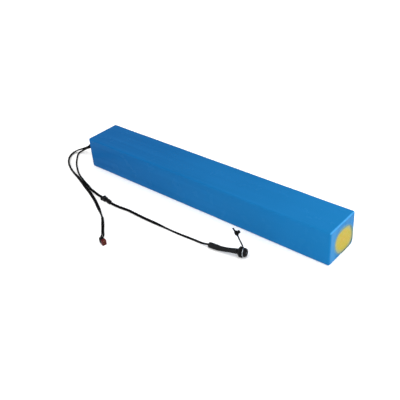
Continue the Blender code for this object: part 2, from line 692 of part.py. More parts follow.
def add_inline_connector():
    """The housings in the charge lead: a receptacle, and a plug whose nose slides into it under a latch."""
    shell = centred_box(RECEPTACLE_X, RECEPTACLE_SIZE)
    clearance = 0.0004
    cavity_size = (NOSE_SIZE[0] + 2 * clearance, NOSE_SIZE[1] + 2 * clearance)
    cavity_x = (PLUG_X[0] - NOSE_LENGTH - clearance, RECEPTACLE_X[1] + 0.002)
    collar_x = (RECEPTACLE_X[0] + 0.0006, RECEPTACLE_X[0] + 0.0024)
    collar = centred_box(collar_x, (0.0110, RECEPTACLE_SIZE[1]))
    receptacle = cut(joined([shell, collar]), centred_box(cavity_x, cavity_size))
    joint = Vector((PLUG_X[0], INLINE_Y, INLINE_Z))
    turn = Matrix.Translation(joint) @ Matrix.Rotation(INLINE_TURN, 4, "Z") @ Matrix.Translation(-joint)
    add_object("inline_receptacle", moved(receptacle, turn), PLASTIC_BLACK)

    slider = add_empty("inline_plug_axis", joint)
    slider.rotation_euler.z = INLINE_TURN
    body = centred_box(PLUG_X, PLUG_SIZE)
    nose = centred_box((PLUG_X[0] - NOSE_LENGTH, PLUG_X[0] + 0.001), NOSE_SIZE)
    rib = centred_box((PLUG_X[1] - 0.0016, PLUG_X[1]), (0.0064, 0.0050))
    post_low = (LATCH_PIVOT.x - 0.0006, INLINE_Y - 0.001, INLINE_Z)
    post_high = (LATCH_PIVOT.x + 0.0006, INLINE_Y + 0.001, LATCH_PIVOT.z - 0.0004)
    plug = joined([body, nose, rib, box(post_low, post_high)])
    plug.transform(Matrix.Translation(-joint))
    add_object("inline_plug", plug, PLASTIC_BLACK, slider)

    pivot = add_empty("inline_latch_axis", turn @ LATCH_PIVOT)
    pivot.rotation_euler.z = INLINE_TURN
    arm = box((-0.0088, -0.0016, -0.0001), (0.0062, 0.0016, 0.0009))
    tooth = box((-0.0088, -0.0016, -0.0006), (-0.0076, 0.0016, 0.0005))
    pad = box((0.0036, -0.0016, 0.0003), (0.0062, 0.0016, 0.0014))
    add_object("inline_latch", joined([arm, tooth, pad]), PLASTIC_BLACK, pivot)


def add_charge_side():
    add_tube("charge_lead", CHARGE_ROUTE, CHARGE_RADIUS, RUBBER_BLACK, 2.3, flare=CHARGE_SWELL)
    add_inline_connector()
    add_tube("port_cable", PORT_CABLE_ROUTE, CHARGE_RADIUS, RUBBER_BLACK, 2.6, flare=PORT_CABLE_SWELL)
    add_tube("port_sleeve", PORT_SLEEVE_ROUTE, SLEEVE_RADIUS, RUBBER_BLACK, 0.6, 4, flare=SLEEVE_FLARE)
    axis = add_empty("port_axis", PORT_PLACE)
    axis.rotation_euler.z = PORT_TURN
    add_port(axis)
    add_dust_cap(axis)


def add_port(axis):
    """The charge socket: cone, flange and threaded barrel, with centre pin, washer and ring nut."""
    back, flange_back, flange_front, bore_end = -0.0084, -0.0053, -0.0026, -0.0035
    profile = [
        (back, 0),
        (back, 0.0046),
        (flange_back, FLANGE_RADIUS - 0.0003),
        (flange_back + 0.0004, FLANGE_RADIUS),
        (flange_front, FLANGE_RADIUS),
        (flange_front, BARREL_RADIUS),
        (PORT_FRONT - 0.0004, BARREL_RADIUS),
        (PORT_FRONT, BARREL_RADIUS - 0.0005),
        (PORT_FRONT, SOCKET_RADIUS),
        (bore_end, SOCKET_RADIUS),
        (bore_end, 0),
    ]
    add_object("charge_port_body", smooth(turned(profile)), PLASTIC_BLACK, axis)
    pin_radius, pin_start, pin_end = 0.00105, bore_end + GAP, PORT_FRONT - 0.0008
    pin = [(pin_start, 0), (pin_start, pin_radius), (pin_end - 0.0004, pin_radius)]
    pin += [(pin_end, 0.0006), (pin_end, 0)]
    add_object("charge_port_pin", smooth(turned(pin, sides=16)), NICKEL, axis)
    washer = [(0.0003, NUT_BORE), (0.0003, WASHER_RADIUS), (0.0011, WASHER_RADIUS), (0.0011, NUT_BORE)]
    add_object("port_washer", smooth(turned(washer)), NICKEL, axis)
    start, end, edge = 0.0014, 0.0043, 0.0002
    ring = [
        (start, NUT_BORE),
        (start, NUT_RADIUS - edge),
        (start + edge, NUT_RADIUS),
        (end - edge, NUT_RADIUS),
        (end, NUT_RADIUS - edge),
        (end, NUT_BORE),
    ]
    notches = []
    for notch in range(6):
        turn = Matrix.Rotation(math.radians(60 * notch + 5), 4, "X")
        notches.append(moved(box((-0.001, -0.0008, NUT_RADIUS - 0.0003), (0.006, 0.0008, 0.009)), turn))
    add_object("port_nut", smooth(cut(turned(ring), *notches)), PLASTIC_BLACK, axis)


def add_dust_cap(axis):
    """One rubber moulding in three: a ring held on the barrel, a strap, and a plug for the socket."""
    half_width, half = RUBBER_WIDTH / 2, RUBBER_THICKNESS / 2
    knuckle = KNUCKLE_RADIUS
    ring = turned([(-0.0023, 0.0063), (-0.0023, FLANGE_RADIUS), (0.0, FLANGE_RADIUS), (0.0, 0.0063)])
    lug = box((-0.0023, -half_width, 0.0075), (0.0, half_width, STRAP_PIVOT[1] - knuckle - GAP))
    lean = Matrix.Rotation(STRAP_LEAN, 4, "X")
    add_object("dust_cap_ring", smooth(joined([ring, moved(lug, lean)])), RUBBER_BLACK, axis)
    plane = add_empty("strap_plane", (0, 0, 0), axis)
    plane.rotation_euler.x = STRAP_LEAN

    root = add_empty("strap_pivot", (STRAP_PIVOT[0], 0, STRAP_PIVOT[1]), plane)
    root.rotation_euler.y = -STRAP_OPEN
    across = Matrix.Rotation(math.radians(90), 4, "Z")
    ends = [(-half_width, 0), (-half_width, knuckle), (half_width, knuckle), (half_width, 0)]
    pin = turned(ends, sides=16)
    bar = box((0, -half_width, -half), (STRAP_LENGTH - knuckle - 0.0004, half_width, half))
    strap = joined([moved(pin.copy(), across), bar])
    add_object("dust_cap_strap", smooth(strap), RUBBER_BLACK, root)

    fold = add_empty("cap_pivot", (STRAP_LENGTH, 0, 0), root)
    fold.rotation_euler.y = -CAP_OPEN
    closed_pivot = Vector((STRAP_PIVOT[0] + STRAP_LENGTH, 0, STRAP_PIVOT[1]))
    centre = Vector((CAP_CENTRE[0], 0, CAP_CENTRE[1])) - closed_pivot
    profile = [(0.0021, 0), (0.0021, CAP_RADIUS - 0.0012), (0.0012, CAP_RADIUS), (-0.0012, CAP_RADIUS)]
    profile += [(-0.0012, 0.0026), (-0.0050, 0.0026), (-0.0057, 0.0023), (-0.0057, 0)]
    plug = moved(turned(profile, sides=24), Matrix.Translation(centre))
    hollow = turned([(-0.0080, 0), (-0.0080, 0.0014), (-0.0020, 0.0014), (-0.0020, 0)], sides=12)
    neck_angle = math.atan2(-centre.z, centre.x)
    neck = box((0, -half_width, -half), (centre.length - 0.003, half_width, half))
    neck_turn = Matrix.Rotation(neck_angle, 4, "Y")
    tab = box((0.0030, -half_width, -half), (CAP_RADIUS + 0.0052, half_width, half))
    tab_turn = Matrix.Rotation(neck_angle - math.radians(12), 4, "Y")
    tab = moved(tab, Matrix.Translation(centre) @ tab_turn)
    solid = joined([plug, moved(pin, across), moved(neck, neck_turn), tab])
    cap = cut(solid, moved(hollow, Matrix.Translation(centre)))
    add_object("dust_cap_plug", smooth(cap), RUBBER_BLACK, fold)


def main():
    clear_scene()
    add_film()
    add_end_boards()
    add_wrapping_boards()
    add_bricks()
    add_strips()
    add_battery_management()
    add_inner_leads()
    add_grommet()
    add_discharge_side()
    add_charge_side()


main()
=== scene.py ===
"""Looks, floor, light and camera for the shrink-wrapped battery pack. Lengths are in metres."""

import math

import bmesh
import bpy
import numpy as np
from mathutils import Matrix, Vector, noise


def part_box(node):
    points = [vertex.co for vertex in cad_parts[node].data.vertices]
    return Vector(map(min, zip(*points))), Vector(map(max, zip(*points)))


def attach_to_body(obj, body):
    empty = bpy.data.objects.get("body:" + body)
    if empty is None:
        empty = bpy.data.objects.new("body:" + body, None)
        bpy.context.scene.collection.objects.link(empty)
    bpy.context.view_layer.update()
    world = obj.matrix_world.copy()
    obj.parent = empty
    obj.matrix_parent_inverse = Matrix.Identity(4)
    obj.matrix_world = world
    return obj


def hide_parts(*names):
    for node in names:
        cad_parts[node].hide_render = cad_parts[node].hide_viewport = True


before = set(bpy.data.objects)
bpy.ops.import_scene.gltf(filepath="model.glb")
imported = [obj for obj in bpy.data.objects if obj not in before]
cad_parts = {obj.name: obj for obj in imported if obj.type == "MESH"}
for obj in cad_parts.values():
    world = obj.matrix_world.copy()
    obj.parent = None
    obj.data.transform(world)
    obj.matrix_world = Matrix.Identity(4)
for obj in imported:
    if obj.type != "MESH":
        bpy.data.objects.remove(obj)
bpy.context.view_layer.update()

# Camera.
CAMERA_PLACE = (0.5946, -0.6593, 0.5873)
CAMERA_TURN = (56.452, 3.816, 40.386)
LENS_MM = 55.41

# Cord routes, which are the frame's own.
DISCHARGE_ROUTE = [
    (-0.2689, 0.0040, 0.0340), (-0.2750, 0.0040, 0.0341), (-0.2800, 0.0036, 0.0334),
    (-0.2852, 0.0006, 0.0310), (-0.2905, -0.0046, 0.0260), (-0.2962, -0.0078, 0.0194),
    (-0.3048, -0.0100, 0.0142), (-0.3150, -0.0125, 0.0096), (-0.3236, -0.0162, 0.0062),
    (-0.3292, -0.0224, 0.0036), (-0.3278, -0.0322, 0.0025), (-0.3210, -0.0431, 0.0025),
    (-0.3121, -0.0521, 0.0025), (-0.3019, -0.0598, 0.0025), (-0.2899, -0.0668, 0.0025),
    (-0.2765, -0.0731, 0.0025), (-0.2595, -0.0793, 0.0025), (-0.2446, -0.0840, 0.0025),
    (-0.2320, -0.0886, 0.0025), (-0.2182, -0.0939, 0.0025), (-0.2046, -0.0991, 0.0025),
    (-0.1916, -0.1039, 0.0025), (-0.1797, -0.1088, 0.0025), (-0.1660, -0.1148, 0.0025),
    (-0.1550, -0.1201, 0.0025), (-0.1462, -0.1249, 0.0025), (-0.1278, -0.1351, 0.0025),
    (-0.1164, -0.1419, 0.0025), (-0.1083, -0.1469, 0.0025),
]
COLLAR_ROUTE = [
    (-0.1081, -0.1471, 0.0029), (-0.1035, -0.1508, 0.0029), (-0.0988, -0.1548, 0.0029),
    (-0.0943, -0.1588, 0.0029),
]
WIRE_ROUTE = [
    (-0.0941, -0.1590, 0.0026), (-0.0905, -0.1622, 0.0019), (-0.0870, -0.1655, 0.0014),
    (-0.0821, -0.1700, 0.0014), (-0.0764, -0.1750, 0.0019), (-0.0714, -0.1794, 0.0029),
    (-0.0677, -0.1840, 0.0038), (-0.0650, -0.1874, 0.0042),
]
WIRE_SPREAD = [0.0014, 0.00128, 0.00126, 0.00126, 0.00135, 0.0015, 0.0017, 0.0018]
CHARGE_ROUTE = [
    (-0.2669, -0.0060, 0.0290), (-0.2730, -0.0060, 0.0288), (-0.2805, -0.0058, 0.0262),
    (-0.2880, -0.0046, 0.0212), (-0.2962, -0.0038, 0.0152), (-0.3042, -0.0038, 0.0112),
    (-0.3116, -0.0055, 0.0076), (-0.3180, -0.0094, 0.0038), (-0.3210, -0.0158, 0.0018),
    (-0.3172, -0.0242, 0.0017), (-0.3067, -0.0355, 0.0017), (-0.2957, -0.0460, 0.0017),
    (-0.2837, -0.0555, 0.0017), (-0.2714, -0.0641, 0.0017), (-0.2579, -0.0722, 0.0017),
    (-0.2488, -0.0767, 0.0017), (-0.2346, -0.0822, 0.0018), (-0.2203, -0.0879, 0.0021),
    (-0.2053, -0.0931, 0.0023), (-0.1934, -0.0973, 0.0023), (-0.1827, -0.0994, 0.0023),
    (-0.1716, -0.1017, 0.0023), (-0.1650, -0.1027, 0.0024), (-0.1600, -0.1032, 0.0026),
    (-0.1555, -0.1037, 0.0027),
]
PORT_CABLE_ROUTE = [
    (-0.1313, -0.1071, 0.0027), (-0.1262, -0.1077, 0.0025), (-0.1200, -0.1078, 0.0024),
    (-0.1150, -0.1076, 0.0024), (-0.1085, -0.1073, 0.0024), (-0.1003, -0.1065, 0.0024),
    (-0.0918, -0.1055, 0.0024), (-0.0830, -0.1053, 0.0024), (-0.0715, -0.1056, 0.0024),
    (-0.0550, -0.1060, 0.0024), (-0.0390, -0.1059, 0.0024), (-0.0175, -0.1054, 0.0023),
    (0.0030, -0.1050, 0.0018), (0.0233, -0.1046, 0.0018), (0.0426, -0.1033, 0.0019),
    (0.0616, -0.1020, 0.0019), (0.0720, -0.1016, 0.0022), (0.0800, -0.1012, 0.0035),
    (0.0871, -0.1007, 0.0048),
]
PORT_SLEEVE_ROUTE = [
    (0.0874, -0.1006, 0.0048), (0.0960, -0.0997, 0.0048), (0.1050, -0.0986, 0.0050),
    (0.1150, -0.0970, 0.0060), (0.1250, -0.0951, 0.0076), (0.1305, -0.0938, 0.0083),
    (0.1353, -0.0921, 0.00845),
]


def smooth_points(route, spacing):
    """Evenly spaced points on the natural cubic spline through a route's points."""
    knots = np.array(route, float)
    along = np.concatenate([[0], np.cumsum(np.linalg.norm(np.diff(knots, axis=0), axis=1))])
    step = np.diff(along)
    count = len(knots)
    system = np.eye(count)
    right = np.zeros((count, 3))
    for i in range(1, count - 1):
        system[i, i - 1 : i + 2] = step[i - 1], 2 * (step[i - 1] + step[i]), step[i]
        slopes = (knots[i + 1] - knots[i]) / step[i] - (knots[i] - knots[i - 1]) / step[i - 1]
        right[i] = 6 * slopes
    bend = np.linalg.solve(system, right)
    pieces = max(2, round(along[-1] / spacing))
    points = []
    for place in np.linspace(0, along[-1], pieces + 1):
        i = min(int(np.searchsorted(along, place, side="right")) - 1, count - 2)
        before, after, h = place - along[i], along[i + 1] - place, step[i]
        point = (bend[i] * after**3 + bend[i + 1] * before**3) / (6 * h)
        point += (knots[i] / h - bend[i] * h / 6) * after
        point += (knots[i + 1] / h - bend[i + 1] * h / 6) * before
        points.append(Vector(point))
    return points


def length_of(points):
    return sum((b - a).length for a, b in zip(points, points[1:]))


# Materials. Each has its own node tree; noise sizes are in waves per metre.


class Look:
    """A Principled material, and the few node patterns that its sockets are fed from."""

    def __init__(self, name, roughness, metallic=0.0, coat=0.0, specular=0.5):
        self.material = bpy.data.materials.new(name)
        self.material.use_nodes = True
        self.tree = self.material.node_tree
        self.shader = self.tree.nodes["Principled BSDF"]
        values = {"Roughness": roughness, "Metallic": metallic}
        values |= {"Coat Weight": coat, "Specular IOR Level": specular}
        for socket, value in values.items():
            self.shader.inputs[socket].default_value = value
        self.coordinates = self.tree.nodes.new("ShaderNodeTexCoord").outputs["Object"]
        self.relief = None

    def node(self, kind, values, sources):
        """A node with these values on its sockets, and these outputs linked to them."""
        made = self.tree.nodes.new("ShaderNode" + kind)
        for socket, value in values.items():
            made.inputs[socket].default_value = value
        for socket, source in sources.items():
            self.tree.links.new(source, made.inputs[socket])
        return made

    def mapped(self, stretch=(1, 1, 1), turn=(0, 0, 0)):
        values = {"Scale": stretch, "Rotation": turn}
        return self.node("Mapping", values, {"Vector": self.coordinates}).outputs["Vector"]

    def noise(self, scale, detail=3.0, stretch=(1, 1, 1), distortion=0.0, contrast=None):
        values = {"Scale": scale, "Detail": detail, "Distortion": distortion}
        pattern = self.node("TexNoise", values, {"Vector": self.mapped(stretch)}).outputs["Fac"]
        return self.between(pattern, *contrast) if contrast else pattern

    def place(self, axis, low, high):
        """Runs from 0 to 1 as the object's own X, Y or Z goes from low to high."""
        return self.between(self.node("SeparateXYZ", {}, {0: self.coordinates}).outputs[axis], low, high)

    def ellipse(self, centre, radii, tilt, low, high):
        """Runs from 0 to 1 as the scale of an ellipse on an end face goes from low to high."""
        flat = 1000.0
        values = {"Location": (0.0, *centre), "Rotation": (tilt, 0.0, 0.0), "Scale": (flat, *radii)}
        local = self.node("Mapping", values, {"Vector": self.coordinates})
        local.vector_type = "TEXTURE"
        distance = self.node("VectorMath", {}, {0: local.outputs["Vector"]})
        distance.operation = "LENGTH"
        return self.between(distance.outputs["Value"], low, high)

    def cells(self, scale, feature="F1"):
        made = self.node("TexVoronoi", {"Scale": scale}, {"Vector": self.mapped()})
        made.feature = feature
        return made.outputs["Distance"]

    def bands(self, scale, turn=(0, 0, 0), distortion=0.0):
        values = {"Scale": scale, "Distortion": distortion}
        return self.node("TexWave", values, {"Vector": self.mapped(turn=turn)}).outputs["Fac"]

    def between(self, value, low, high, to_low=0.0, to_high=1.0):
        values = {"From Min": low, "From Max": high, "To Min": to_low, "To Max": to_high}
        return self.node("MapRange", values, {"Value": value}).outputs["Result"]

    def product(self, first, second):
        made = self.node("Math", {}, {0: first, 1: second})
        made.operation = "MULTIPLY"
        return made.outputs["Value"]

    def mix(self, factor, first, second):
        """A colour between two, each of which is a colour or another pattern's output."""
        made = self.node("Mix", {}, {0: factor})
        made.data_type = "RGBA"
        for socket, value in ((made.inputs[6], first), (made.inputs[7], second)):
            if isinstance(value, tuple):
                socket.default_value = (*value, 1.0)
            else:
                self.tree.links.new(value, socket)
        return made.outputs[2]

    def colour(self, value):
        self.tree.links.new(value, self.shader.inputs["Base Color"])

    def roughness(self, value, low, high):
        self.tree.links.new(self.between(value, 0.3, 0.7, low, high), self.shader.inputs["Roughness"])

    def bump(self, height, depth, strength=1.0):
        """Adds relief of this depth on top of any that was added before."""
        sources = {"Height": height}
        if self.relief is not None:
            sources["Normal"] = self.relief
        self.relief = self.node("Bump", {"Strength": strength, "Distance": depth}, sources).outputs["Normal"]
        self.tree.links.new(self.relief, self.shader.inputs["Normal"])


# The film's outer faces.
END_X, SIDE_Y, TOP_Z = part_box("heat_shrink_sleeve")[1]

# The board's window in the film, as an ellipse: centre and radii in Y and Z, and tilt about X.
WINDOW_ELLIPSE = ((0.0065, 0.0240), (0.0275, 0.0212), math.radians(148))


def film_look():
    """Satin shrunk PVC: slow changes of blue, streaks along the tube and shallow dents. Also painted shade
    darker towards the far end, a painted highlight along the board end's top edge and a painted reflection
    beside that end's front edge.
    """
    look = Look("shrink_film_blue", 0.26, specular=0.035)
    look.shader.inputs["Specular Tint"].default_value = (0.2, 0.65, 1.0, 1.0)
    slow, slower = (look.noise(scale, detail=2.0, contrast=(0.35, 0.65)) for scale in (9.0, 7.0))
    # Painted shade: the blue is darker towards the far (-X) end and lighter towards the near end, as if lit
    # from the near end.
    far_end_painted_shade = look.mix(slower, (0.003, 0.082, 0.260), (0.005, 0.094, 0.277))
    near = look.mix(slow, (0.006, 0.134, 0.334), (0.008, 0.145, 0.360))
    streak = look.noise(160.0, detail=4.0, stretch=(0.04, 1, 1), contrast=(0.3, 0.7))
    blue = look.mix(look.place("X", -0.26, 0.26), far_end_painted_shade, near)
    blue = look.mix(look.between(streak, 0.0, 1.0, 0.0, 0.25), blue, (0.012, 0.15, 0.40))
    # Painted reflection of the floor: a paler band on the board end, next to its front edge.
    painted_reflection_band = look.product(look.place("Y", -SIDE_Y, -0.0285), look.place("Y", -0.0120, -0.0215))
    painted_reflection_band = look.product(painted_reflection_band, look.place("X", END_X - 0.0028, END_X - 0.0004))
    blue = look.mix(look.between(painted_reflection_band, 0.0, 1.0, 0.0, 0.32), blue, (0.05, 0.26, 0.52))
    # Painted highlight: a pale line along the top edge of the board end.
    above = look.place("Z", TOP_Z - 0.0028, TOP_Z - 0.0020)
    painted_highlight_edge = look.product(look.place("X", END_X - 0.0020, END_X - 0.0015), above)
    blue = look.mix(painted_highlight_edge, blue, (0.04, 0.24, 0.52))
    on_end = look.place("X", END_X - 0.0014, END_X - 0.0008)
    thin = look.product(look.ellipse(*WINDOW_ELLIPSE, 1.2, 0.98), on_end)
    look.colour(look.mix(thin, blue, (0.13, 0.22, 0.17)))
    look.roughness(look.noise(45.0, detail=5.0), 0.19, 0.3)
    look.bump(look.noise(34.0, detail=2.0, stretch=(0.6, 1, 1)), 0.0007, 0.5)
    look.bump(streak, 0.00006, 0.5)
    look.bump(look.noise(1500.0, detail=2.0), 0.00001, 0.5)
    return look.material


def board_look():
    """Yellow glass-fibre board: woven relief and uneven, orange-tinted resin."""
    look = Look("glass_fibre_yellow", 0.55, specular=0.25)
    patches = look.noise(75.0, detail=3.0, distortion=0.6, contrast=(0.42, 0.62))
    fine = look.noise(420.0, detail=3.0, contrast=(0.3, 0.7))
    yellow = look.mix(fine, (0.32, 0.27, 0.013), (0.35, 0.29, 0.02))
    yellow = look.mix(patches, yellow, (0.38, 0.265, 0.015))
    shaded = look.product(look.ellipse(*WINDOW_ELLIPSE, 0.74, 1.02), look.place("X", 0.0, 0.1))
    look.colour(look.mix(shaded, yellow, (0.19, 0.25, 0.17)))
    look.roughness(fine, 0.45, 0.65)
    look.bump(look.bands(420.0, turn=(0, 0, math.radians(90))), 0.00004, 0.5)
    look.bump(look.bands(420.0, turn=(0, math.radians(90), 0)), 0.00004, 0.5)
    return look.material


def cord_look(name, colour, sheen_streak=0.0, specular=0.05):
    """Soft PVC or rubber: drawn streaks, dust-grey patches and a fine grain."""
    look = Look(name, 0.5, specular=specular)
    dust = look.noise(120.0, detail=5.0, contrast=(0.45, 0.75))
    lighter = tuple(min(1.0, channel * 1.9 + 0.001) for channel in colour)
    look.colour(look.mix(dust, colour, lighter))
    look.roughness(look.noise(300.0, detail=4.0), 0.38, 0.62)
    look.bump(look.noise(700.0, detail=3.0), 0.00005, 0.4)
    if sheen_streak:
        look.bump(look.noise(220.0, detail=2.0, stretch=(0.15, 1, 1)), sheen_streak, 0.5)
    return look.material


def moulded_look(name, colour, rough=(0.32, 0.48), specular=0.45):
    """Moulded nylon: spark-eroded grain, with faint flow marks in the colour."""
    look = Look(name, rough[0], specular=specular)
    flow = look.noise(150.0, detail=2.0, stretch=(0.3, 1, 1), contrast=(0.35, 0.65))
    lighter = tuple(min(1.0, channel * 1.35 + 0.001) for channel in colour)
    look.colour(look.mix(flow, colour, lighter))
    look.roughness(look.noise(500.0, detail=4.0), *rough)
    look.bump(look.cells(900.0), 0.00003, 0.4)
    return look.material


def metal_look(name, colour, darker, rough=(0.18, 0.34), stretch=(1, 1, 1)):
    """Plated or rolled metal: fine drawn lines and a little uneven tarnish."""
    look = Look(name, rough[0], metallic=1.0)
    tarnish = look.noise(120.0, detail=4.0, contrast=(0.4, 0.7))
    look.colour(look.mix(tarnish, colour, darker))
    lines = look.noise(1600.0, detail=3.0, stretch=stretch)
    look.roughness(lines, *rough)
    look.bump(lines, 0.00001, 0.4)
    return look.material


def circuit_look():
    """Green solder mask over copper tracks."""
    look = Look("solder_mask_green", 0.3, coat=0.3)
    tracks = look.between(look.cells(160.0, feature="DISTANCE_TO_EDGE"), 0.04, 0.07)
    look.colour(look.mix(tracks, (0.03, 0.3, 0.1), (0.008, 0.13, 0.045)))
    look.roughness(look.noise(600.0), 0.25, 0.4)
    look.bump(tracks, 0.00004, 0.6)
    return look.material


def paper_look():
    """Grey-green pressed insulation board, with fibres in it."""
    look = Look("insulation_board", 0.85)
    fibres = look.noise(900.0, detail=6.0, stretch=(0.2, 1, 1), distortion=1.0, contrast=(0.35, 0.7))
    look.colour(look.mix(fibres, (0.22, 0.3, 0.25), (0.34, 0.42, 0.36)))
    look.bump(fibres, 0.00008, 0.6)
    return look.material


def cell_look():
    """Teal shrink wrap on the cells, with pale print-like bands where the wrap overlaps."""
    look = Look("cell_wrap_teal", 0.4)
    overlap = look.between(look.bands(15.0, turn=(0, 0, math.radians(90)), distortion=0.4), 0.9, 0.98)
    tone = look.noise(90.0, contrast=(0.35, 0.65))
    teal = look.mix(tone, (0.02, 0.25, 0.24), (0.04, 0.36, 0.33))
    look.colour(look.mix(overlap, teal, (0.1, 0.45, 0.4)))
    look.roughness(tone, 0.3, 0.5)
    look.bump(overlap, 0.0001, 0.5)
    return look.material


LOOKS = {
    "film": film_look(),
    "board": board_look(),
    "cord": cord_look("cord_pvc_black", (0.0009, 0.0009, 0.0012), sheen_streak=0.00012, specular=0.03),
    "rubber": cord_look("rubber_black", (0.002, 0.0022, 0.0026), specular=0.07),
    "sleeve": cord_look("shrink_sleeve_black", (0.003, 0.0033, 0.004), sheen_streak=0.0003, specular=0.11),
    "housing": moulded_look("nylon_black", (0.0022, 0.0023, 0.003), specular=0.1),
    "boot": cord_look("shrink_boot_black", (0.0012, 0.0012, 0.0014), specular=0.04),
    "red": moulded_look("nylon_red", (0.055, 0.003, 0.004), rough=(0.25, 0.4), specular=0.12),
    "nickel": metal_look("nickel_plate", (0.5, 0.56, 0.62), (0.38, 0.42, 0.46)),
    "strip": metal_look("nickel_strip", (0.7, 0.69, 0.66), (0.52, 0.5, 0.47), stretch=(0.05, 1, 1)),
    "gilt": metal_look("contact_brass", (0.30, 0.17, 0.07), (0.16, 0.09, 0.04), rough=(0.35, 0.5)),
    "copper": metal_look("copper_strip", (0.78, 0.38, 0.2), (0.5, 0.22, 0.11), stretch=(0.05, 1, 1)),
    "aluminium": metal_look("aluminium_plate", (0.8, 0.8, 0.81), (0.66, 0.66, 0.68), rough=(0.3, 0.5)),
    "circuit": circuit_look(),
    "paper": paper_look(),
    "cell": cell_look(),
    "ribbon": moulded_look("ribbon_white", (0.6, 0.6, 0.58), rough=(0.4, 0.55)),
}

# Carried-over solids that are right as they are: a look for each name that they start with.
CARRIED = {
    "end_board": "board",
    "top_board": "board",
    "insulation_tray": "paper",
    "cell_brick": "cell",
    "nickel_strip": "strip",
    "bms_board": "circuit",
    "bms_heat_plate": "aluminium",
    "balance_harness": "ribbon",
    "positive_lead": "copper",
    "negative_lead": "copper",
    "output_lead": "copper",
}


def paint_carried():
    for name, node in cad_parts.items():
        for start, look in CARRIED.items():
            if name.startswith(start):
                node.data.materials.clear()
                node.data.materials.append(LOOKS[look])


# Mesh building.


def attach(piece, body, node):
    """Links an object, which rides on a body and stands for one of the frame's solids."""
    bpy.context.scene.collection.objects.link(piece)
    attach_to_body(piece, body)
    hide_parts(node)
    return piece


def add_piece(name, mesh, look, body, node, angle=35):
    mesh.shade_smooth()
    mesh.set_sharp_from_angle(angle=math.radians(angle))
    mesh.materials.clear()
    mesh.materials.append(LOOKS[look])
    return attach(bpy.data.objects.new(name, mesh), body, node)


def mesh_of(shape, matrix=None):
    bmesh.ops.recalc_face_normals(shape, faces=shape.faces)
    mesh = bpy.data.meshes.new("shape")
    shape.to_mesh(mesh)
    shape.free()
    if matrix is not None:
        mesh.transform(matrix)
    return mesh


def loft(rings, close=True):
    """Skin over rings of the same number of points. With close, the first and last are filled."""
    shape = bmesh.new()
    made = [[shape.verts.new(point) for point in ring] for ring in rings]
    count = len(rings[0])
    for first, second in zip(made, made[1:]):
        for i in range(count):
            after = (i + 1) % count
            shape.faces.new([first[i], first[after], second[after], second[i]])
    if close:
        shape.faces.new(made[0][::-1])
        shape.faces.new(made[-1])
    return shape


def joined(*shapes):
    whole = bmesh.new()
    for shape in shapes:
        mesh = bpy.data.meshes.new("part")
        shape.to_mesh(mesh)
        shape.free()
        whole.from_mesh(mesh)
        bpy.data.meshes.remove(mesh)
    return whole


def moved(shape, matrix):
    shape.transform(matrix)
    return shape


def spin(degrees, axis):
    return Matrix.Rotation(math.radians(degrees), 4, axis)


# The radius at which a turned skin closes on its axis.
TIP = 0.00001


def turned(profile, sides=64, wobble=None):
    """A closed skin turned about X from (along, radius) points. wobble(along, angle) scales the radius."""
    rings = []
    for along, radius in profile:
        ring = []
        for side in range(sides):
            angle = 2 * math.pi * side / sides
            local = radius * (wobble(along, angle) if wobble else 1.0)
            ring.append((along, local * math.cos(angle), local * math.sin(angle)))
        rings.append(ring)
    if min(profile[0][1], profile[-1][1]) > TIP:
        rings.append(rings[0])
    return loft(rings, close=False)


def soft_box(low, high, radius, segments=3):
    """A block with rounded edges."""
    shape = bmesh.new()
    low, high = Vector(low), Vector(high)
    scale = Matrix.Diagonal((*(high - low), 1.0))
    bmesh.ops.create_cube(shape, size=1.0, matrix=Matrix.Translation((low + high) / 2) @ scale)
    bmesh.ops.bevel(
        shape, geom=list(shape.edges), offset=radius, segments=segments, profile=0.5, affect="EDGES"
    )
    return shape


def rounded_outline(low_u, high_u, low_v, high_v, radii, steps=6):
    """Rounded rectangle from its +u +v corner, anticlockwise; radii is one number, or one for each corner."""
    radii = [radii] * 4 if isinstance(radii, float) else radii
    corners = ((high_u, high_v, 0), (low_u, high_v, 90), (low_u, low_v, 180), (high_u, low_v, 270))
    signs = ((-1, -1), (1, -1), (1, 1), (-1, 1))
    points = []
    for (u, v, first), (side_u, side_v), radius in zip(corners, signs, radii):
        for step in range(steps + 1):
            angle = math.radians(first + 90 * step / steps)
            centre = (u + side_u * radius, v + side_v * radius)
            points.append((centre[0] + radius * math.cos(angle), centre[1] + radius * math.sin(angle)))
    return points


def sweep(points, section, close=True):
    """Skin along points. section(i, t) gives the ring's (sideways, upward) offsets at point i."""
    rings = []
    for i, point in enumerate(points):
        before, after = points[max(i - 1, 0)], points[min(i + 1, len(points) - 1)]
        along = (after - before).normalized()
        side = Vector((0, 0, 1)).cross(along).normalized()
        rise = along.cross(side)
        rings.append([point + side * u + rise * v for u, v in section(i, i / (len(points) - 1))])
    return loft(rings, close)


def oval(width, height, sides=20, turn=0.0, power=1.0):
    """An ellipse, or with power below 1 a rounder-cornered flat shape."""
    ring = []
    for side in range(sides):
        angle = 2 * math.pi * side / sides
        c, s = math.cos(angle), math.sin(angle)
        u = width / 2 * math.copysign(abs(c) ** power, c)
        v = height / 2 * math.copysign(abs(s) ** power, s)
        ring.append((u * math.cos(turn) - v * math.sin(turn), u * math.sin(turn) + v * math.cos(turn)))
    return ring


# Camera.


def add_camera():
    data = bpy.data.cameras.new("camera")
    data.sensor_width = 36
    data.lens = LENS_MM
    camera = bpy.data.objects.new("camera", data)
    camera.location = CAMERA_PLACE
    camera.rotation_euler = [math.radians(angle) for angle in CAMERA_TURN]
    bpy.context.scene.collection.objects.link(camera)
    bpy.context.scene.camera = camera


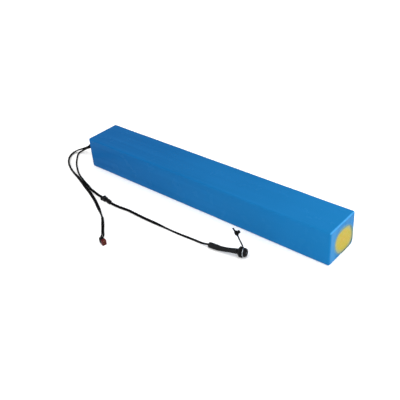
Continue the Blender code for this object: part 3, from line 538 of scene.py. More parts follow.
# Cords.
SOLID_RADIUS = 0.0025
CABLE_WIDTH = 0.0056
CABLE_THICKNESS = 0.0031
THIN_DIAMETER = 0.0031
WIRE_DIAMETER = 0.0026
CHARGE_SWELL = ((0.0, 1.0), (0.66, 1.0), (0.8, 1.4), (1.0, 1.4))
PORT_CABLE_SWELL = ((0.0, 1.45), (0.5, 1.45), (0.6, 1.0), (0.66, 1.0))
PORT_CABLE_SWELL += ((0.72, 1.12), (0.9, 1.12), (0.96, 1.0), (1.0, 1.0))


def add_discharge_cable():
    """The flat twin cable, which rolls over as it goes, so that its width shows in some places only."""
    points = smooth_points(DISCHARGE_ROUTE, 0.0016)
    last = len(points) - 1
    rolls = ((0.0, 90), (0.12, 60), (0.22, 20), (0.27, 22), (0.31, 48), (0.36, 66), (0.43, 80), (0.47, 90))
    rolls += ((0.51, 86), (0.55, 62), (0.62, 46), (0.72, 38), (0.77, 20), (0.81, 4), (0.87, 2), (0.9, 24))
    rolls += ((0.93, 50), (0.96, 78), (1.0, 80))

    def roll(i):
        return math.radians(np.interp(i / last, *zip(*rolls)))

    lying = []
    for i, point in enumerate(points):
        turn = roll(i)
        half_height = math.hypot(CABLE_WIDTH / 2 * math.sin(turn), CABLE_THICKNESS / 2 * math.cos(turn))
        share = min(1.0, max(0.0, (0.0065 - point.z) / 0.004))
        lift = half_height + 0.00005 - SOLID_RADIUS
        lying.append(Vector((point.x, point.y, point.z + lift * share)))

    def section(i, t):
        ring = []
        for u, v in oval(CABLE_WIDTH, CABLE_THICKNESS, sides=28):
            v *= 1.0 - 0.13 * math.exp(-((u / 0.0007) ** 2))
            turn = roll(i)
            ring.append((u * math.cos(turn) - v * math.sin(turn), u * math.sin(turn) + v * math.cos(turn)))
        return ring

    mesh = mesh_of(sweep(lying, section))
    piece = add_piece("cable_discharge", mesh, "cord", "pack", "discharge_cable")
    return piece, lying


def add_round_cord(name, route, diameter, body, node, swell=((0.0, 1.0), (1.0, 1.0))):
    curve = bpy.data.curves.new(name, "CURVE")
    curve.dimensions = "3D"
    curve.bevel_depth = diameter / 2
    curve.bevel_resolution = 5
    curve.use_fill_caps = True
    points = smooth_points(route, 0.0015)
    spline = curve.splines.new("POLY")
    spline.points.add(len(points) - 1)
    for i, (spot, point) in enumerate(zip(spline.points, points)):
        spot.co = (*point, 1.0)
        spot.radius = np.interp(i / (len(points) - 1), *zip(*swell))
    spline.use_smooth = True
    curve.materials.append(LOOKS["cord"])
    return attach(bpy.data.objects.new(name, curve), body, node), points


def wire_route(side):
    along = Vector(WIRE_ROUTE[-1]) - Vector(WIRE_ROUTE[0])
    sideways = Vector((-along.y, along.x, 0)).normalized()
    return [Vector(point) + sideways * side * offset for point, offset in zip(WIRE_ROUTE, WIRE_SPREAD)]


# The film.


def window_radius(angle, spokes):
    """Distance from the window's centre to its rim, between spokes given as (degrees, distance)."""
    degrees = math.degrees(angle) % 360
    places = [spoke[0] for spoke in spokes]
    values = [spoke[1] for spoke in spokes]
    places = [places[-1] - 360, *places, places[0] + 360]
    values = [values[-1], *values, values[0]]
    i = max(k for k in range(len(places) - 1) if places[k] <= degrees)
    share = (degrees - places[i]) / (places[i + 1] - places[i])
    share = share * share * (3 - 2 * share) * 0.5 + share * 0.5
    return values[i] + (values[i + 1] - values[i]) * share


BOARD_WINDOW_CENTRE = (0.0065, 0.0240)
BOARD_WINDOW_SPOKES = (
    (0, 0.0240), (20, 0.0222), (45, 0.0232), (70, 0.0212), (90, 0.0206), (115, 0.0228),
    (140, 0.0280), (160, 0.0276), (180, 0.0250), (205, 0.0230), (230, 0.0225), (255, 0.0218),
    (270, 0.0214), (290, 0.0228), (312, 0.0277), (330, 0.0284), (345, 0.0262),
)
CABLE_WINDOW_CENTRE = (0.0, 0.0300)
CABLE_WINDOW_REACHES = (0.0236, 0.0244, 0.0215, 0.0186, 0.0216, 0.0250)
CABLE_WINDOW_REACHES += (0.0238, 0.0246, 0.0222, 0.0196, 0.0219, 0.0242)
CABLE_WINDOW_SPOKES = tuple(zip(range(0, 360, 30), CABLE_WINDOW_REACHES))


def add_film():
    """One skin: rings of points go from the cable end's window, along the pack, to the board end's window."""
    middle = TOP_Z / 2
    edge = 0.0026
    steps = 8
    inset = 0.0001
    bunched_from = 0.2569
    face_x = END_X - inset

    def outline(x):
        """Section at x. The edge under the back is rounder in the board end's fold."""
        near = max(0.0, min(1.0, (x - bunched_from) / (face_x - bunched_from)))
        radii = [edge, edge, edge, edge + 0.0065 * near * near * (3 - 2 * near)]
        return rounded_outline(-SIDE_Y, SIDE_Y, 0.0, TOP_Z, radii, steps)

    corner = steps + 1
    runs = [max(2, round(span / 0.0032)) for span in (2 * SIDE_Y, TOP_Z, 2 * SIDE_Y, TOP_Z)]

    def section(x):
        base = outline(x)
        result = []
        for side in range(4):
            arc = base[side * corner : (side + 1) * corner]
            after = base[((side + 1) * corner) % len(base)]
            result += arc
            for k in range(1, runs[side]):
                share = k / runs[side]
                result.append(tuple(arc[-1][n] + (after[n] - arc[-1][n]) * share for n in (0, 1)))
        return result

    def inward(point, amount):
        """Moves a section's point straight in from its nearest faces."""
        y, z = point
        spare_y, spare_z = SIDE_Y - abs(y), middle - abs(z - middle)
        reach = 0.012
        pull_y = amount * max(0.0, 1 - spare_y / reach)
        pull_z = amount * max(0.0, 1 - spare_z / reach)
        return (y - math.copysign(pull_y, y), z - math.copysign(pull_z, z - middle))

    def dent(x, y, z):
        """Shallow unevenness of the faces, up to 0.25 mm."""
        return 0.00013 + 0.00013 * noise.noise(Vector((x * 22, y * 34, z * 34)))

    def end_rings(sign, centre, spokes, rows=12):
        """From the fold to the window's rim, ending just inside it."""
        result = []
        face = sign * face_x
        for row in range(1, 7):
            angle = math.radians(90 * row / 6)
            x = face - sign * edge * (1 - math.sin(angle))
            ring = []
            for y, z in section(x):
                moved_y, moved_z = inward((y, z), edge * (1 - math.cos(angle)) + 0.00013)
                ring.append((x, moved_y, moved_z))
            result.append(ring)
        folded = result[-1]
        for row in range(1, rows + 1):
            share = row / rows
            ring = []
            for x, y, z in folded:
                angle = math.atan2(z - centre[1], y - centre[0])
                reach = window_radius(angle, spokes)
                rim_y, rim_z = centre[0] + reach * math.cos(angle), centre[1] + reach * math.sin(angle)
                rim_z = max(rim_z, 0.0024)
                pleat = math.sin(angle * 17 + 1.3 * math.sin(angle * 3)) * 0.5 + 0.5
                sunk = 0.00016 * pleat * math.sin(math.pi * min(1.0, share * 1.1))
                sunk += 0.00012 + 0.00012 * noise.noise(Vector((y * 60, z * 60, 3.0 * sign)))
                ring.append((face - sign * sunk, y + (rim_y - y) * share, z + (rim_z - z) * share))
            result.append(ring)
        rim = result[-1]
        for deeper, wider in ((0.00030, 0.0), (0.00042, 0.0004), (0.00044, 0.0020)):
            ring = []
            for x, y, z in rim:
                out = Vector((y - centre[0], z - centre[1])).normalized() * wider
                ring.append((face - sign * deeper, y + out.x, z + out.y))
            result.append(ring)
        return result

    rings = end_rings(-1, CABLE_WINDOW_CENTRE, CABLE_WINDOW_SPOKES)[::-1]
    finish = END_X - 0.0028
    count = 96
    for k in range(count + 1):
        x = -finish + 2 * finish * k / count
        ring = []
        for y, z in section(x):
            amount = 0.00006 + dent(x, y, z)
            on_side = abs(abs(y) - SIDE_Y) < 1e-5
            on_top_or_base = min(abs(z), abs(z - TOP_Z)) < 1e-5
            moved_y, moved_z = y, z
            if on_side or not on_top_or_base:
                moved_y -= math.copysign(amount, y)
            if on_top_or_base or not on_side:
                moved_z -= math.copysign(amount, z - middle)
            ring.append((x, moved_y, moved_z))
        rings.append(ring)
    rings += end_rings(1, BOARD_WINDOW_CENTRE, BOARD_WINDOW_SPOKES)
    mesh = mesh_of(loft(rings, close=False))
    add_piece("film", mesh, "film", "pack", "heat_shrink_sleeve", angle=60)


# The cable end.
DISCHARGE_EXIT = Vector((-0.2686, 0.004, 0.034))
CHARGE_EXIT = Vector((-0.2666, -0.006, 0.029))
GROMMET_FACE_X = -0.2606


def add_grommet():
    """Rubber gland: a crowned flange, a tapered and ringed spout for each cord."""
    inner_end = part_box("cable_grommet")[1][0]
    flange_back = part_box("heat_shrink_sleeve")[0][0] + 0.0006
    low_y, high_y, low_z, high_z = -0.0135, 0.0125, 0.0225, 0.0415
    rings = []
    for x, inset in (
        (flange_back, 0.0),
        (flange_back - 0.0011, 0.0),
        (flange_back - 0.0017, 0.0003),
        (flange_back - 0.0021, 0.0010),
        (GROMMET_FACE_X + 0.00002, 0.0022),
    ):
        sizes = (low_y + inset, high_y - inset, low_z + inset, high_z - inset)
        rings.append([(x, y, z) for y, z in rounded_outline(*sizes, 0.006 - inset * 0.8, steps=8)])
    neck_rings = [
        [(x, y, z) for y, z in rounded_outline(-0.0102, 0.0092, 0.0258, 0.0382, 0.0015, steps=4)]
        for x in (flange_back - 0.0006, inner_end)
    ]
    shapes = [loft(rings), loft(neck_rings)]
    for tip, radius in ((DISCHARGE_EXIT, CABLE_WIDTH / 2), (CHARGE_EXIT, THIN_DIAMETER / 2)):
        reach = GROMMET_FACE_X + 0.0004 - tip.x
        profile = [(0.0, TIP), (0.0, radius + 0.0002), (0.0, radius + 0.0005), (0.0003, radius + 0.0007)]
        for k in range(1, 41):
            share = k / 40
            ridge = 0.00028 * max(0.0, math.sin(share * math.pi * 7)) * (1 - share * 0.6)
            profile.append((0.0003 + (reach - 0.0003) * share, radius + 0.0007 + 0.0010 * share**1.5 + ridge))
        shapes.append(moved(turned(profile, sides=40), Matrix.Translation(tip)))
    mesh = mesh_of(joined(*shapes))
    return add_piece("grommet", mesh, "rubber", "pack", "cable_grommet")


# The discharge plug.
PLUG_REAR = Vector((-0.0549, -0.1927, 0.0))
PLUG_TURN = math.radians(-13)
PLUG_LENGTH = 0.004
PLUG_TAIL = 0.0053
PLUG_WIDTH = 0.0074
PLUG_HEIGHT = 0.0104
CONTACT_SPACING = 0.0042
CONTACT_BORE = 0.0016


def plug_frame():
    return Matrix.Translation(PLUG_REAR) @ Matrix.Rotation(PLUG_TURN, 4, "Z")


def add_collar():
    points = smooth_points(COLLAR_ROUTE, 0.0006)

    def section(i, t):
        flare = 1.0 - 0.10 * math.exp(-((t / 0.05) ** 2)) - 0.16 * math.exp(-(((1 - t) / 0.06) ** 2))
        ripple = 1.0 + 0.012 * math.sin(t * 26)
        width, height = 0.0053 * flare * ripple, (0.0046 - 0.0008 * t) * flare
        return oval(width, height, sides=28, turn=math.radians(70 - 70 * t))

    mesh = mesh_of(sweep(points, section))
    return add_piece("collar", mesh, "boot", "pack", "discharge_collar")


def add_boot():
    """Shrink boot: two lobes where it grips the wires, then a tall box where it grips the plug's tail."""
    stations = (
        (-0.0004, 0.0, 0.0, 0.0052, 0.0071, 0.0101, 0.5),
        (-0.0006, 0.0, 0.0, 0.0052, 0.0074, 0.0104, 0.5),
        (-0.0030, 0.0, 0.0, 0.0052, 0.0073, 0.0103, 0.5),
        (-0.0058, 0.0, 0.0, 0.0052, 0.0072, 0.0102, 0.55),
        (-0.0070, 0.0003, -14.0, 0.0051, 0.0072, 0.0096, 0.62),
        (-0.0083, 0.0009, -27.0, 0.0049, 0.0073, 0.0088, 0.72),
        (-0.0097, 0.0019, -33.0, 0.0046, 0.0071, 0.0074, 0.8),
        (-0.0104, 0.00245, -36.0, 0.0043, 0.0070, 0.0061, 0.85),
        (-0.0106, 0.0026, -36.0, 0.0042, 0.0067, 0.0056, 0.85),
    )
    rings = []
    for along, across, heading, middle, width, height, power in stations:
        turn = Matrix.Rotation(math.radians(heading), 3, "Z")
        waist = 0.22 * max(0.0, (-0.0062 - along) / 0.0044)
        ring = []
        for u, v in oval(width, height, sides=48, power=power):
            v *= 1.0 - waist * math.exp(-((u / 0.0011) ** 2))
            spot = Vector((0.0, u, v))
            ripple = 1.0 + 0.012 * noise.noise(Vector((along * 400, u * 700, v * 700))) - 0.006
            ring.append(Vector((along, across, middle)) + turn @ (spot * ripple))
        rings.append(ring)
    mesh = mesh_of(loft(rings), plug_frame())
    return add_piece("boot", mesh, "boot", "pack", "discharge_boot")


def plug_outline(inset):
    """The housing's front view: keyed corners at the top, small ones below."""
    half, top, edge, chamfer = PLUG_WIDTH / 2, PLUG_HEIGHT, 0.0005, 0.0012
    return [
        (-half + inset, edge),
        (-half + edge, inset),
        (half - edge, inset),
        (half - inset, edge),
        (half - inset, top - chamfer),
        (half - chamfer, top - inset),
        (-half + chamfer, top - inset),
        (-half + inset, top - chamfer),
    ]


def add_plug():
    """Two-pole housing with keyed top corners, a grip groove and two round mouths, one above the other."""
    stations = [(-PLUG_TAIL, 0.0012), (-PLUG_TAIL + 0.0002, 0.0009), (-0.0001, 0.0009), (0.0, 0.0004)]
    stations.append((0.0002, 0.0))
    stations += [(0.0010, 0.0), (0.00115, 0.00022), (0.00145, 0.00022), (0.0016, 0.0)]
    stations += [(PLUG_LENGTH - 0.0004, 0.0), (PLUG_LENGTH - 0.0001, 0.00012), (PLUG_LENGTH, 0.0003)]
    rings = [[(x, y, z) for y, z in plug_outline(inset)] for x, inset in stations]
    body = bpy.data.objects.new("plug_body", mesh_of(loft(rings)))
    bpy.context.scene.collection.objects.link(body)
    heights = (PLUG_HEIGHT / 2 + CONTACT_SPACING / 2, PLUG_HEIGHT / 2 - CONTACT_SPACING / 2)
    bore_end = 0.001 - PLUG_TAIL
    bores = []
    for height in heights:
        profile = [(bore_end, TIP), (bore_end, CONTACT_BORE), (PLUG_LENGTH - 0.0003, CONTACT_BORE)]
        past = PLUG_LENGTH + 0.001
        profile += [(PLUG_LENGTH + 0.0001, 0.0019), (past, 0.0019), (past, TIP)]
        mesh = mesh_of(turned(profile, sides=32), Matrix.Translation((0, 0, height)))
        bore = bpy.data.objects.new("bore", mesh)
        bpy.context.scene.collection.objects.link(bore)
        modifier = body.modifiers.new("bore", "BOOLEAN")
        modifier.object = bore
        modifier.operation = "DIFFERENCE"
        bores.append(bore)
    graph = bpy.context.evaluated_depsgraph_get()
    mesh = bpy.data.meshes.new_from_object(body.evaluated_get(graph))
    for obj in (body, *bores):
        bpy.data.objects.remove(obj, do_unlink=True)
    mesh.transform(plug_frame())
    plug = add_piece("plug_discharge", mesh, "red", "pack", "discharge_plug", angle=30)
    start, end = bore_end + 0.0004, PLUG_LENGTH - 0.0008
    profile = [(start, TIP), (start, 0.0013), (end - 0.0004, 0.0013), (end, 0.0012), (end, 0.0009)]
    profile += [(end - 0.0005, 0.0008), (-0.0010, 0.0008), (-0.0010, TIP)]
    contacts = []
    for name, height in zip(("positive", "negative"), heights):
        mesh = mesh_of(turned(profile, sides=32), plug_frame() @ Matrix.Translation((0, 0, height)))
        node = f"discharge_contact_{name}"
        contacts.append(add_piece(f"contact_{name}", mesh, "gilt", "pack", node))
    return [plug, *contacts]


# The inline connector.
INLINE_Y = -0.1054
INLINE_Z = 0.0027
INLINE_TURN = math.radians(-8)
RECEPTACLE_X = (-0.1553, -0.1438)
PLUG_X = (-0.1435, -0.1315)
LATCH_PIVOT = Vector((-0.1395, INLINE_Y, 0.0062))


def across(x_low, x_high, half_width, z_low, z_high, radius, segments=3):
    """A soft-edged block centred on the connector's axis."""
    low = (x_low, INLINE_Y - half_width, z_low)
    return soft_box(low, (x_high, INLINE_Y + half_width, z_high), radius, segments)


def add_inline_connector():
    joint = Vector((PLUG_X[0], INLINE_Y, INLINE_Z))
    turn = Matrix.Translation(joint) @ Matrix.Rotation(INLINE_TURN, 4, "Z") @ Matrix.Translation(-joint)
    x0, x1 = RECEPTACLE_X
    base, top = 0.00002, 0.0054
    wide, narrow, back_end = 0.0043, 0.0038, x0 + 0.0042
    cavity_y, cavity_z = 0.0030, 0.0021

    def tapered_wall(side):
        """One side of the socket, slimmer towards its mouth."""
        rings = []
        stations = [(back_end - 0.0004, wide), (x0 + 0.0070, wide)]
        stations += [(x1 - 0.0002, narrow), (x1, narrow - 0.0002)]
        for x, outer in stations:
            ends = sorted((INLINE_Y + side * outer, INLINE_Y + side * cavity_y))
            rings.append([(x, y, z) for y, z in rounded_outline(*ends, base, top, 0.00025, steps=3)])
        return loft(rings)

    parts = [across(x0, back_end, wide, base, top, 0.00045), tapered_wall(-1), tapered_wall(1)]
    for ends in ((base, INLINE_Z - cavity_z), (INLINE_Z + cavity_z, top)):
        parts.append(across(back_end - 0.0004, x1, narrow - 0.0003, *ends, 0.00015))
    parts.append(across(x0 + 0.0006, x0 + 0.0024, 0.0055, base, top, 0.0005))
    for k in range(3):
        x = x0 + 0.0030 + 0.0009 * k
        parts.append(across(x, x + 0.0004, wide + 0.0002, 0.0009, 0.0045, 0.00012, 2))
    mesh = mesh_of(joined(*parts), turn)
    receptacle = add_piece("connector_receptacle", mesh, "housing", "pack", "inline_receptacle")

    start, end = PLUG_X
    parts = [
        across(start, end, 0.0028, INLINE_Z - 0.0021, INLINE_Z + 0.0021, 0.0004),
        across(start - 0.007, start + 0.001, 0.0026, INLINE_Z - 0.0017, INLINE_Z + 0.0017, 0.0003),
    ]
    for k in range(3):
        x = end - 0.0014 - 0.0021 * k
        parts.append(across(x, x + 0.0013, 0.0032, INLINE_Z - 0.0025, INLINE_Z + 0.0025, 0.0003))
    post = LATCH_PIVOT.x
    parts.append(across(post - 0.0006, post + 0.0006, 0.001, INLINE_Z, LATCH_PIVOT.z - 0.0004, 0.0001, 2))
    mesh = mesh_of(joined(*parts), turn)
    plug = add_piece("connector_plug", mesh, "housing", "port_assembly", "inline_plug")

    profile = [(-0.0088, -0.0006), (-0.0080, -0.0006), (-0.0076, -0.0001), (0.0030, -0.0001), (0.0062, -0.0001)]
    profile += [(0.0062, 0.0010), (0.0058, 0.0014), (0.0054, 0.0010), (0.0050, 0.0014), (0.0046, 0.0010)]
    profile += [(0.0042, 0.0014), (0.0037, 0.0009), (-0.0070, 0.0009), (-0.0084, 0.0004)]
    shape = loft([[(x, y, z) for x, z in profile] for y in (-0.0016, 0.0016)])
    bmesh.ops.recalc_face_normals(shape, faces=shape.faces)
    bmesh.ops.bevel(shape, geom=list(shape.edges), offset=0.0001, segments=2, profile=0.5, affect="EDGES")
    mesh = mesh_of(shape, turn @ Matrix.Translation(LATCH_PIVOT))
    latch = add_piece("connector_latch", mesh, "housing", "latch", "inline_latch")
    return receptacle, plug, latch


# The charge port.
PORT_PLACE = Vector((0.1436, -0.0891, 0.00845))
PORT_TURN = math.radians(21)
FLANGE_RADIUS = 0.00845
BARREL_RADIUS = 0.00595
WASHER_RADIUS = 0.0071
NUT_RADIUS = 0.007
NUT_BORE = 0.0063
SOCKET_RADIUS = 0.0032
PORT_FRONT = 0.0066
THREAD_PITCH = 0.00075
SLEEVE_FLARE = ((0.0, 1.2), (0.06, 1.24), (0.3, 1.2), (0.45, 1.04), (0.6, 1.0), (0.75, 1.0), (1.0, 1.16))
STRAP_LEAN = math.radians(-15)
STRAP_PIVOT = (-0.00115, 0.0105)
STRAP_LENGTH = 0.01077
STRAP_OPEN = math.radians(119)
CAP_OPEN = math.radians(97.2)
CAP_CENTRE = (0.0081, 0.0)
CAP_RADIUS = 0.0042
RUBBER_WIDTH = 0.003
RUBBER_THICKNESS = 0.0017
KNUCKLE_RADIUS = 0.0009


def port_frame():
    return Matrix.Translation(PORT_PLACE) @ Matrix.Rotation(PORT_TURN, 4, "Z")


def add_port_sleeve():
    """Thick shrink tube behind the port, with an open, cut end and shallow creases where it bends."""
    points = smooth_points(PORT_SLEEVE_ROUTE, 0.0006)
    last = len(points) - 1

    def ring(i, scale):
        t = i / last
        limit = 0.0038 * np.interp(t, *zip(*SLEEVE_FLARE)) * scale
        radius = limit - 0.00008
        offsets = []
        for side in range(40):
            angle = 2 * math.pi * side / 40
            crease = 0.00010 * noise.noise(Vector((t * 14, math.cos(angle) * 1.6, math.sin(angle) * 1.6)))
            crease += 0.00005 * math.cos(angle * 5 + t * 6) * math.exp(-((t - 0.15) ** 2) / 0.02)
            local = min(radius + crease, limit - 0.00001)
            offsets.append((local * math.cos(angle), local * math.sin(angle)))
        return offsets

    outer = sweep(points, lambda i, t: ring(i, 1.0), close=False)
    mouth = [points[0] + (points[5] - points[0]) * share for share in (0.0, 0.2, 1.0)]
    scales = (0.97, 0.86, 0.8)
    inner = sweep(mouth, lambda i, t: ring(0, scales[i]), close=False)
    mesh = mesh_of(joined(outer, inner))
    return add_piece("port_strain_relief", mesh, "sleeve", "port_assembly", "port_sleeve")


def add_port():
    back, flange_back, flange_front, bore_end = -0.0084, -0.0053, -0.0026, -0.0035
    profile = [(back, TIP), (back, 0.0042), (back + 0.0003, 0.0046)]
    for k in range(1, 9):
        share = k / 8
        along = back + 0.0003 + (flange_back - back - 0.0003) * share
        profile.append((along, 0.0046 + (0.0079 - 0.0046) * share**1.15))
    profile += [(flange_back + 0.0002, 0.0083), (flange_back + 0.0005, FLANGE_RADIUS)]
    profile += [(flange_front - 0.0004, FLANGE_RADIUS), (flange_front - 0.0001, 0.0083), (flange_front, 0.0081)]
    profile += [(flange_front, BARREL_RADIUS - 0.0003)]
    turn_length = PORT_FRONT - 0.0007 - flange_front
    rows = int(turn_length / THREAD_PITCH * 8)
    for k in range(rows + 1):
        profile.append((flange_front + 0.0001 + turn_length * k / rows, BARREL_RADIUS))
    profile += [(PORT_FRONT - 0.0003, BARREL_RADIUS - 0.0003), (PORT_FRONT, BARREL_RADIUS - 0.0008)]
    profile += [(PORT_FRONT, 0.0041), (PORT_FRONT - 0.0003, 0.0039), (PORT_FRONT - 0.0003, 0.0036)]
    profile += [(PORT_FRONT - 0.0006, SOCKET_RADIUS), (bore_end, SOCKET_RADIUS), (bore_end, TIP)]

    def wobble(along, angle):
        if not flange_front + 0.00005 < along < PORT_FRONT - 0.0005:
            return 1.0
        phase = (along / THREAD_PITCH + angle / (2 * math.pi)) % 1.0
        fade = min(1.0, (PORT_FRONT - 0.0004 - along) / 0.0006)
        return 1.0 - 0.042 * (1 - abs(2 * phase - 1)) * fade

    shapes = [turned(profile, sides=72, wobble=wobble)]
    for k in range(12):
        low = (flange_back + 0.0007, -0.0006, 0.0076)
        rib = soft_box(low, (flange_front - 0.0006, 0.0006, FLANGE_RADIUS - 0.00001), 0.0002, 2)
        shapes.append(moved(rib, spin(30 * k, "X")))
    body = mesh_of(joined(*shapes), port_frame())
    pieces = [add_piece("port_body", body, "housing", "port_assembly", "charge_port_body")]

    pin = [(bore_end + 0.0003, TIP), (bore_end + 0.0003, 0.00105), (0.0051, 0.00105), (0.0055, 0.00098)]
    pin += [(0.0057, 0.0008), (0.00579, 0.0005), (0.00579, TIP)]
    mesh = mesh_of(turned(pin, sides=32), port_frame())
    pieces.append(add_piece("port_pin", mesh, "nickel", "port_assembly", "charge_port_pin"))

    start, end, edge = 0.0003, 0.0011, 0.00008
    washer = [(start, NUT_BORE), (start, WASHER_RADIUS - edge), (start + edge, WASHER_RADIUS)]
    washer += [(end - edge, WASHER_RADIUS), (end, WASHER_RADIUS - edge), (end, NUT_BORE)]
    mesh = mesh_of(turned(washer), port_frame())
    pieces.append(add_piece("port_lock_washer", mesh, "nickel", "washer", "port_washer"))

    start, end, edge = 0.0014, 0.0043, 0.0002
    ring = [(start, NUT_BORE + 0.0001), (start, NUT_RADIUS - edge), (start + edge, NUT_RADIUS)]
    ring += [(end - edge, NUT_RADIUS), (end, NUT_RADIUS - edge), (end, NUT_BORE + 0.0001)]
    ring += [(end - 0.0001, NUT_BORE), (start + 0.0001, NUT_BORE)]
    nut = turned(ring, sides=360)
    for vert in nut.verts:
        if math.hypot(vert.co.y, vert.co.z) < NUT_RADIUS - 0.0003:
            continue
        angle = math.atan2(vert.co.z, vert.co.y)
        from_notch = abs((math.degrees(angle) - 5 + 30) % 60 - 30)
        scale = 0.958 if from_notch < 6.4 else 1.0 - 0.006 * (0.5 + 0.5 * math.cos(angle * 60))
        vert.co.y *= scale
        vert.co.z *= scale
    mesh = mesh_of(nut, port_frame())
    pieces.append(add_piece("port_ring_nut", mesh, "housing", "nut", "port_nut", angle=25))
    return pieces


def add_dust_cap():
    base = port_frame()
    ring = [(-0.0023, 0.0063), (-0.0023, 0.0081), (-0.0021, 0.00835), (-0.0018, FLANGE_RADIUS)]
    ring += [(-0.0005, FLANGE_RADIUS), (-0.0002, 0.00835), (0.0, 0.0081), (0.0, 0.0063)]
    lug_top = STRAP_PIVOT[1] - KNUCKLE_RADIUS - 0.0003
    half_width = RUBBER_WIDTH / 2
    lug = soft_box((-0.0023, -half_width, 0.0078), (0.0, half_width, lug_top), 0.0003)
    lean = Matrix.Rotation(STRAP_LEAN, 4, "X")
    mesh = mesh_of(joined(turned(ring), moved(lug, lean)), base)
    pieces = [add_piece("cap_ring", mesh, "rubber", "port_assembly", "dust_cap_ring")]

    pivot = Matrix.Translation((STRAP_PIVOT[0], 0, STRAP_PIVOT[1]))
    root = base @ lean @ pivot @ Matrix.Rotation(-STRAP_OPEN, 4, "Y")

    def band(start, finish, widths, rows=24):
        """A flat rubber strip along X, with soft edges and a width that changes."""
        rings = []
        for k in range(rows + 1):
            t = k / rows
            x = start + (finish - start) * t
            width = np.interp(t, *zip(*widths))
            rings.append([(x, u, v) for u, v in oval(width, RUBBER_THICKNESS, sides=24, power=0.55)])
        return loft(rings)

    def knuckle():
        end, inner, edge = half_width, half_width - 0.0002, KNUCKLE_RADIUS * 0.8
        profile = [(-end, TIP), (-end, edge), (-inner, KNUCKLE_RADIUS)]
        profile += [(inner, KNUCKLE_RADIUS), (end, edge), (end, TIP)]
        return moved(turned(profile, sides=32), spin(90, "Z"))

    widths = ((0, 0.0034), (0.15, 0.0031), (0.5, 0.0029), (0.85, 0.0031), (1, 0.0034))
    strap = band(0.0, STRAP_LENGTH - 0.0013, widths)
    mesh = mesh_of(joined(strap, knuckle()), root)
    pieces.append(add_piece("cap_strap", mesh, "rubber", "cap_strap", "dust_cap_strap"))

    fold = root @ Matrix.Translation((STRAP_LENGTH, 0, 0)) @ Matrix.Rotation(-CAP_OPEN, 4, "Y")
    closed = Vector((STRAP_PIVOT[0] + STRAP_LENGTH, 0, STRAP_PIVOT[1]))
    centre = Vector((CAP_CENTRE[0], 0, CAP_CENTRE[1])) - closed
    turn = math.atan2(-centre.z, centre.x)
    head = [(0.0021, TIP), (0.0021, 0.0026), (0.0019, 0.0032), (0.0014, 0.0039), (0.0009, CAP_RADIUS)]
    head += [(-0.0009, CAP_RADIUS), (-0.0012, 0.0039), (-0.0012, 0.0028), (-0.0013, 0.0026)]
    head += [(-0.0026, 0.0026), (-0.0029, 0.00272), (-0.0033, 0.00272), (-0.0036, 0.0026)]
    head += [(-0.0050, 0.0026), (-0.0055, 0.0024), (-0.0057, 0.0021), (-0.0057, 0.0016)]
    head += [(-0.0054, 0.0014), (-0.0022, 0.0014), (-0.0020, 0.0012), (-0.0020, TIP)]
    shapes = [moved(turned(head, sides=48), Matrix.Translation(centre)), knuckle()]
    widths = ((0, 0.0033), (0.2, 0.0028), (0.7, 0.0028), (1, 0.0034))
    neck = band(0.0, centre.length - 0.0030, widths)
    shapes.append(moved(neck, Matrix.Rotation(turn, 4, "Y")))
    widths = ((0, 0.0034), (0.3, 0.0028), (0.8, 0.0032), (0.95, 0.0028), (1, 0.0016))
    tab = band(0.0030, CAP_RADIUS + 0.0052, widths)
    tab_turn = Matrix.Rotation(turn - math.radians(12), 4, "Y")
    shapes.append(moved(tab, Matrix.Translation(centre) @ tab_turn))
    mesh = mesh_of(joined(*shapes), fold)
    pieces.append(add_piece("cap_plug", mesh, "rubber", "cap", "dust_cap_plug"))
    return pieces


# Floor and light.


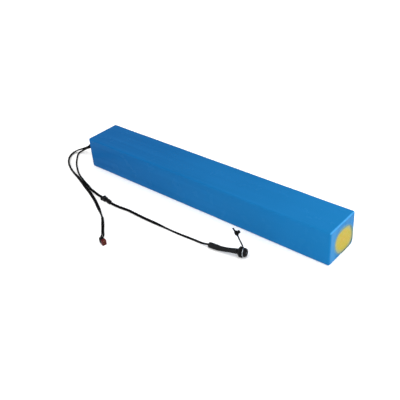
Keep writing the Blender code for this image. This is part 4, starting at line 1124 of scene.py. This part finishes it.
def add_stage():
    shape = bmesh.new()
    bmesh.ops.create_grid(shape, x_segments=1, y_segments=1, size=6.0)
    floor = bpy.data.objects.new("floor", mesh_of(shape))
    floor.location.z = -0.00005
    look = Look("floor_white", 0.9, specular=0.1)
    look.colour(look.mix(look.noise(3.0, detail=1.0), (0.94, 0.94, 0.94), (0.96, 0.96, 0.96)))
    look.shader.inputs["Emission Color"].default_value = (1.0, 1.0, 1.0, 1.0)
    look.shader.inputs["Emission Strength"].default_value = 0.14
    floor.data.materials.append(look.material)
    bpy.context.scene.collection.objects.link(floor)

    world = bpy.data.worlds.new("studio")
    world.use_nodes = True
    nodes, links = world.node_tree.nodes, world.node_tree.links
    direction = nodes.new("ShaderNodeTexCoord").outputs["Generated"]
    split = nodes.new("ShaderNodeSeparateXYZ")
    overhead = nodes.new("ShaderNodeMapRange")
    for socket, value in (("From Min", 0.58), ("From Max", 0.9), ("To Min", 0.44), ("To Max", 1.7)):
        overhead.inputs[socket].default_value = value
    links.new(direction, split.inputs[0])
    links.new(split.outputs["Z"], overhead.inputs["Value"])
    links.new(overhead.outputs["Result"], nodes["Background"].inputs["Strength"])
    nodes["Background"].inputs["Color"].default_value = (1.0, 1.0, 1.0, 1.0)
    bpy.context.scene.world = world
    bpy.context.scene.view_settings.view_transform = "Standard"

    for name, place, size, power in (
        ("key", (1.15, -0.1, 0.45), 0.7, 4.8),
        ("rim", (0.92, 0.78, 0.65), 0.3, 6.0),
        ("fill", (-0.3, -1.4, 0.9), 1.2, 11.0),
    ):
        light = bpy.data.lights.new(name, "AREA")
        light.shape = "DISK"
        light.size = size
        light.energy = power
        lamp = bpy.data.objects.new(name, light)
        lamp.location = place
        lamp.rotation_euler = (Vector((0, 0, 0.03)) - Vector(place)).to_track_quat("-Z", "Y").to_euler()
        bpy.context.scene.collection.objects.link(lamp)


def main():
    add_camera()
    cable, cable_points = add_discharge_cable()
    wires = [
        add_round_cord("wire_positive", wire_route(1), WIRE_DIAMETER, "pack", "discharge_wire_positive"),
        add_round_cord("wire_negative", wire_route(-1), WIRE_DIAMETER, "pack", "discharge_wire_negative"),
    ]
    charge, charge_points = add_round_cord(
        "lead_charge", CHARGE_ROUTE, THIN_DIAMETER, "pack", "charge_lead", CHARGE_SWELL
    )
    through_sleeve = PORT_CABLE_ROUTE + PORT_SLEEVE_ROUTE[1:]
    seen = length_of([Vector(point) for point in PORT_CABLE_ROUTE])
    share_seen = seen / length_of([Vector(point) for point in through_sleeve])
    swell = [(place * share_seen, scale) for place, scale in PORT_CABLE_SWELL] + [(1.0, 1.0)]
    port_lead, port_points = add_round_cord(
        "lead_port", through_sleeve, THIN_DIAMETER, "port_assembly", "port_cable", swell
    )
    grommet = add_grommet()
    collar = add_collar()
    boot = add_boot()
    plug_pieces = add_plug()
    receptacle, plug, latch = add_inline_connector()
    sleeve = add_port_sleeve()
    port_pieces = [sleeve, *add_port(), *add_dust_cap()]
    paint_carried()
    add_film()
    add_stage()


main()
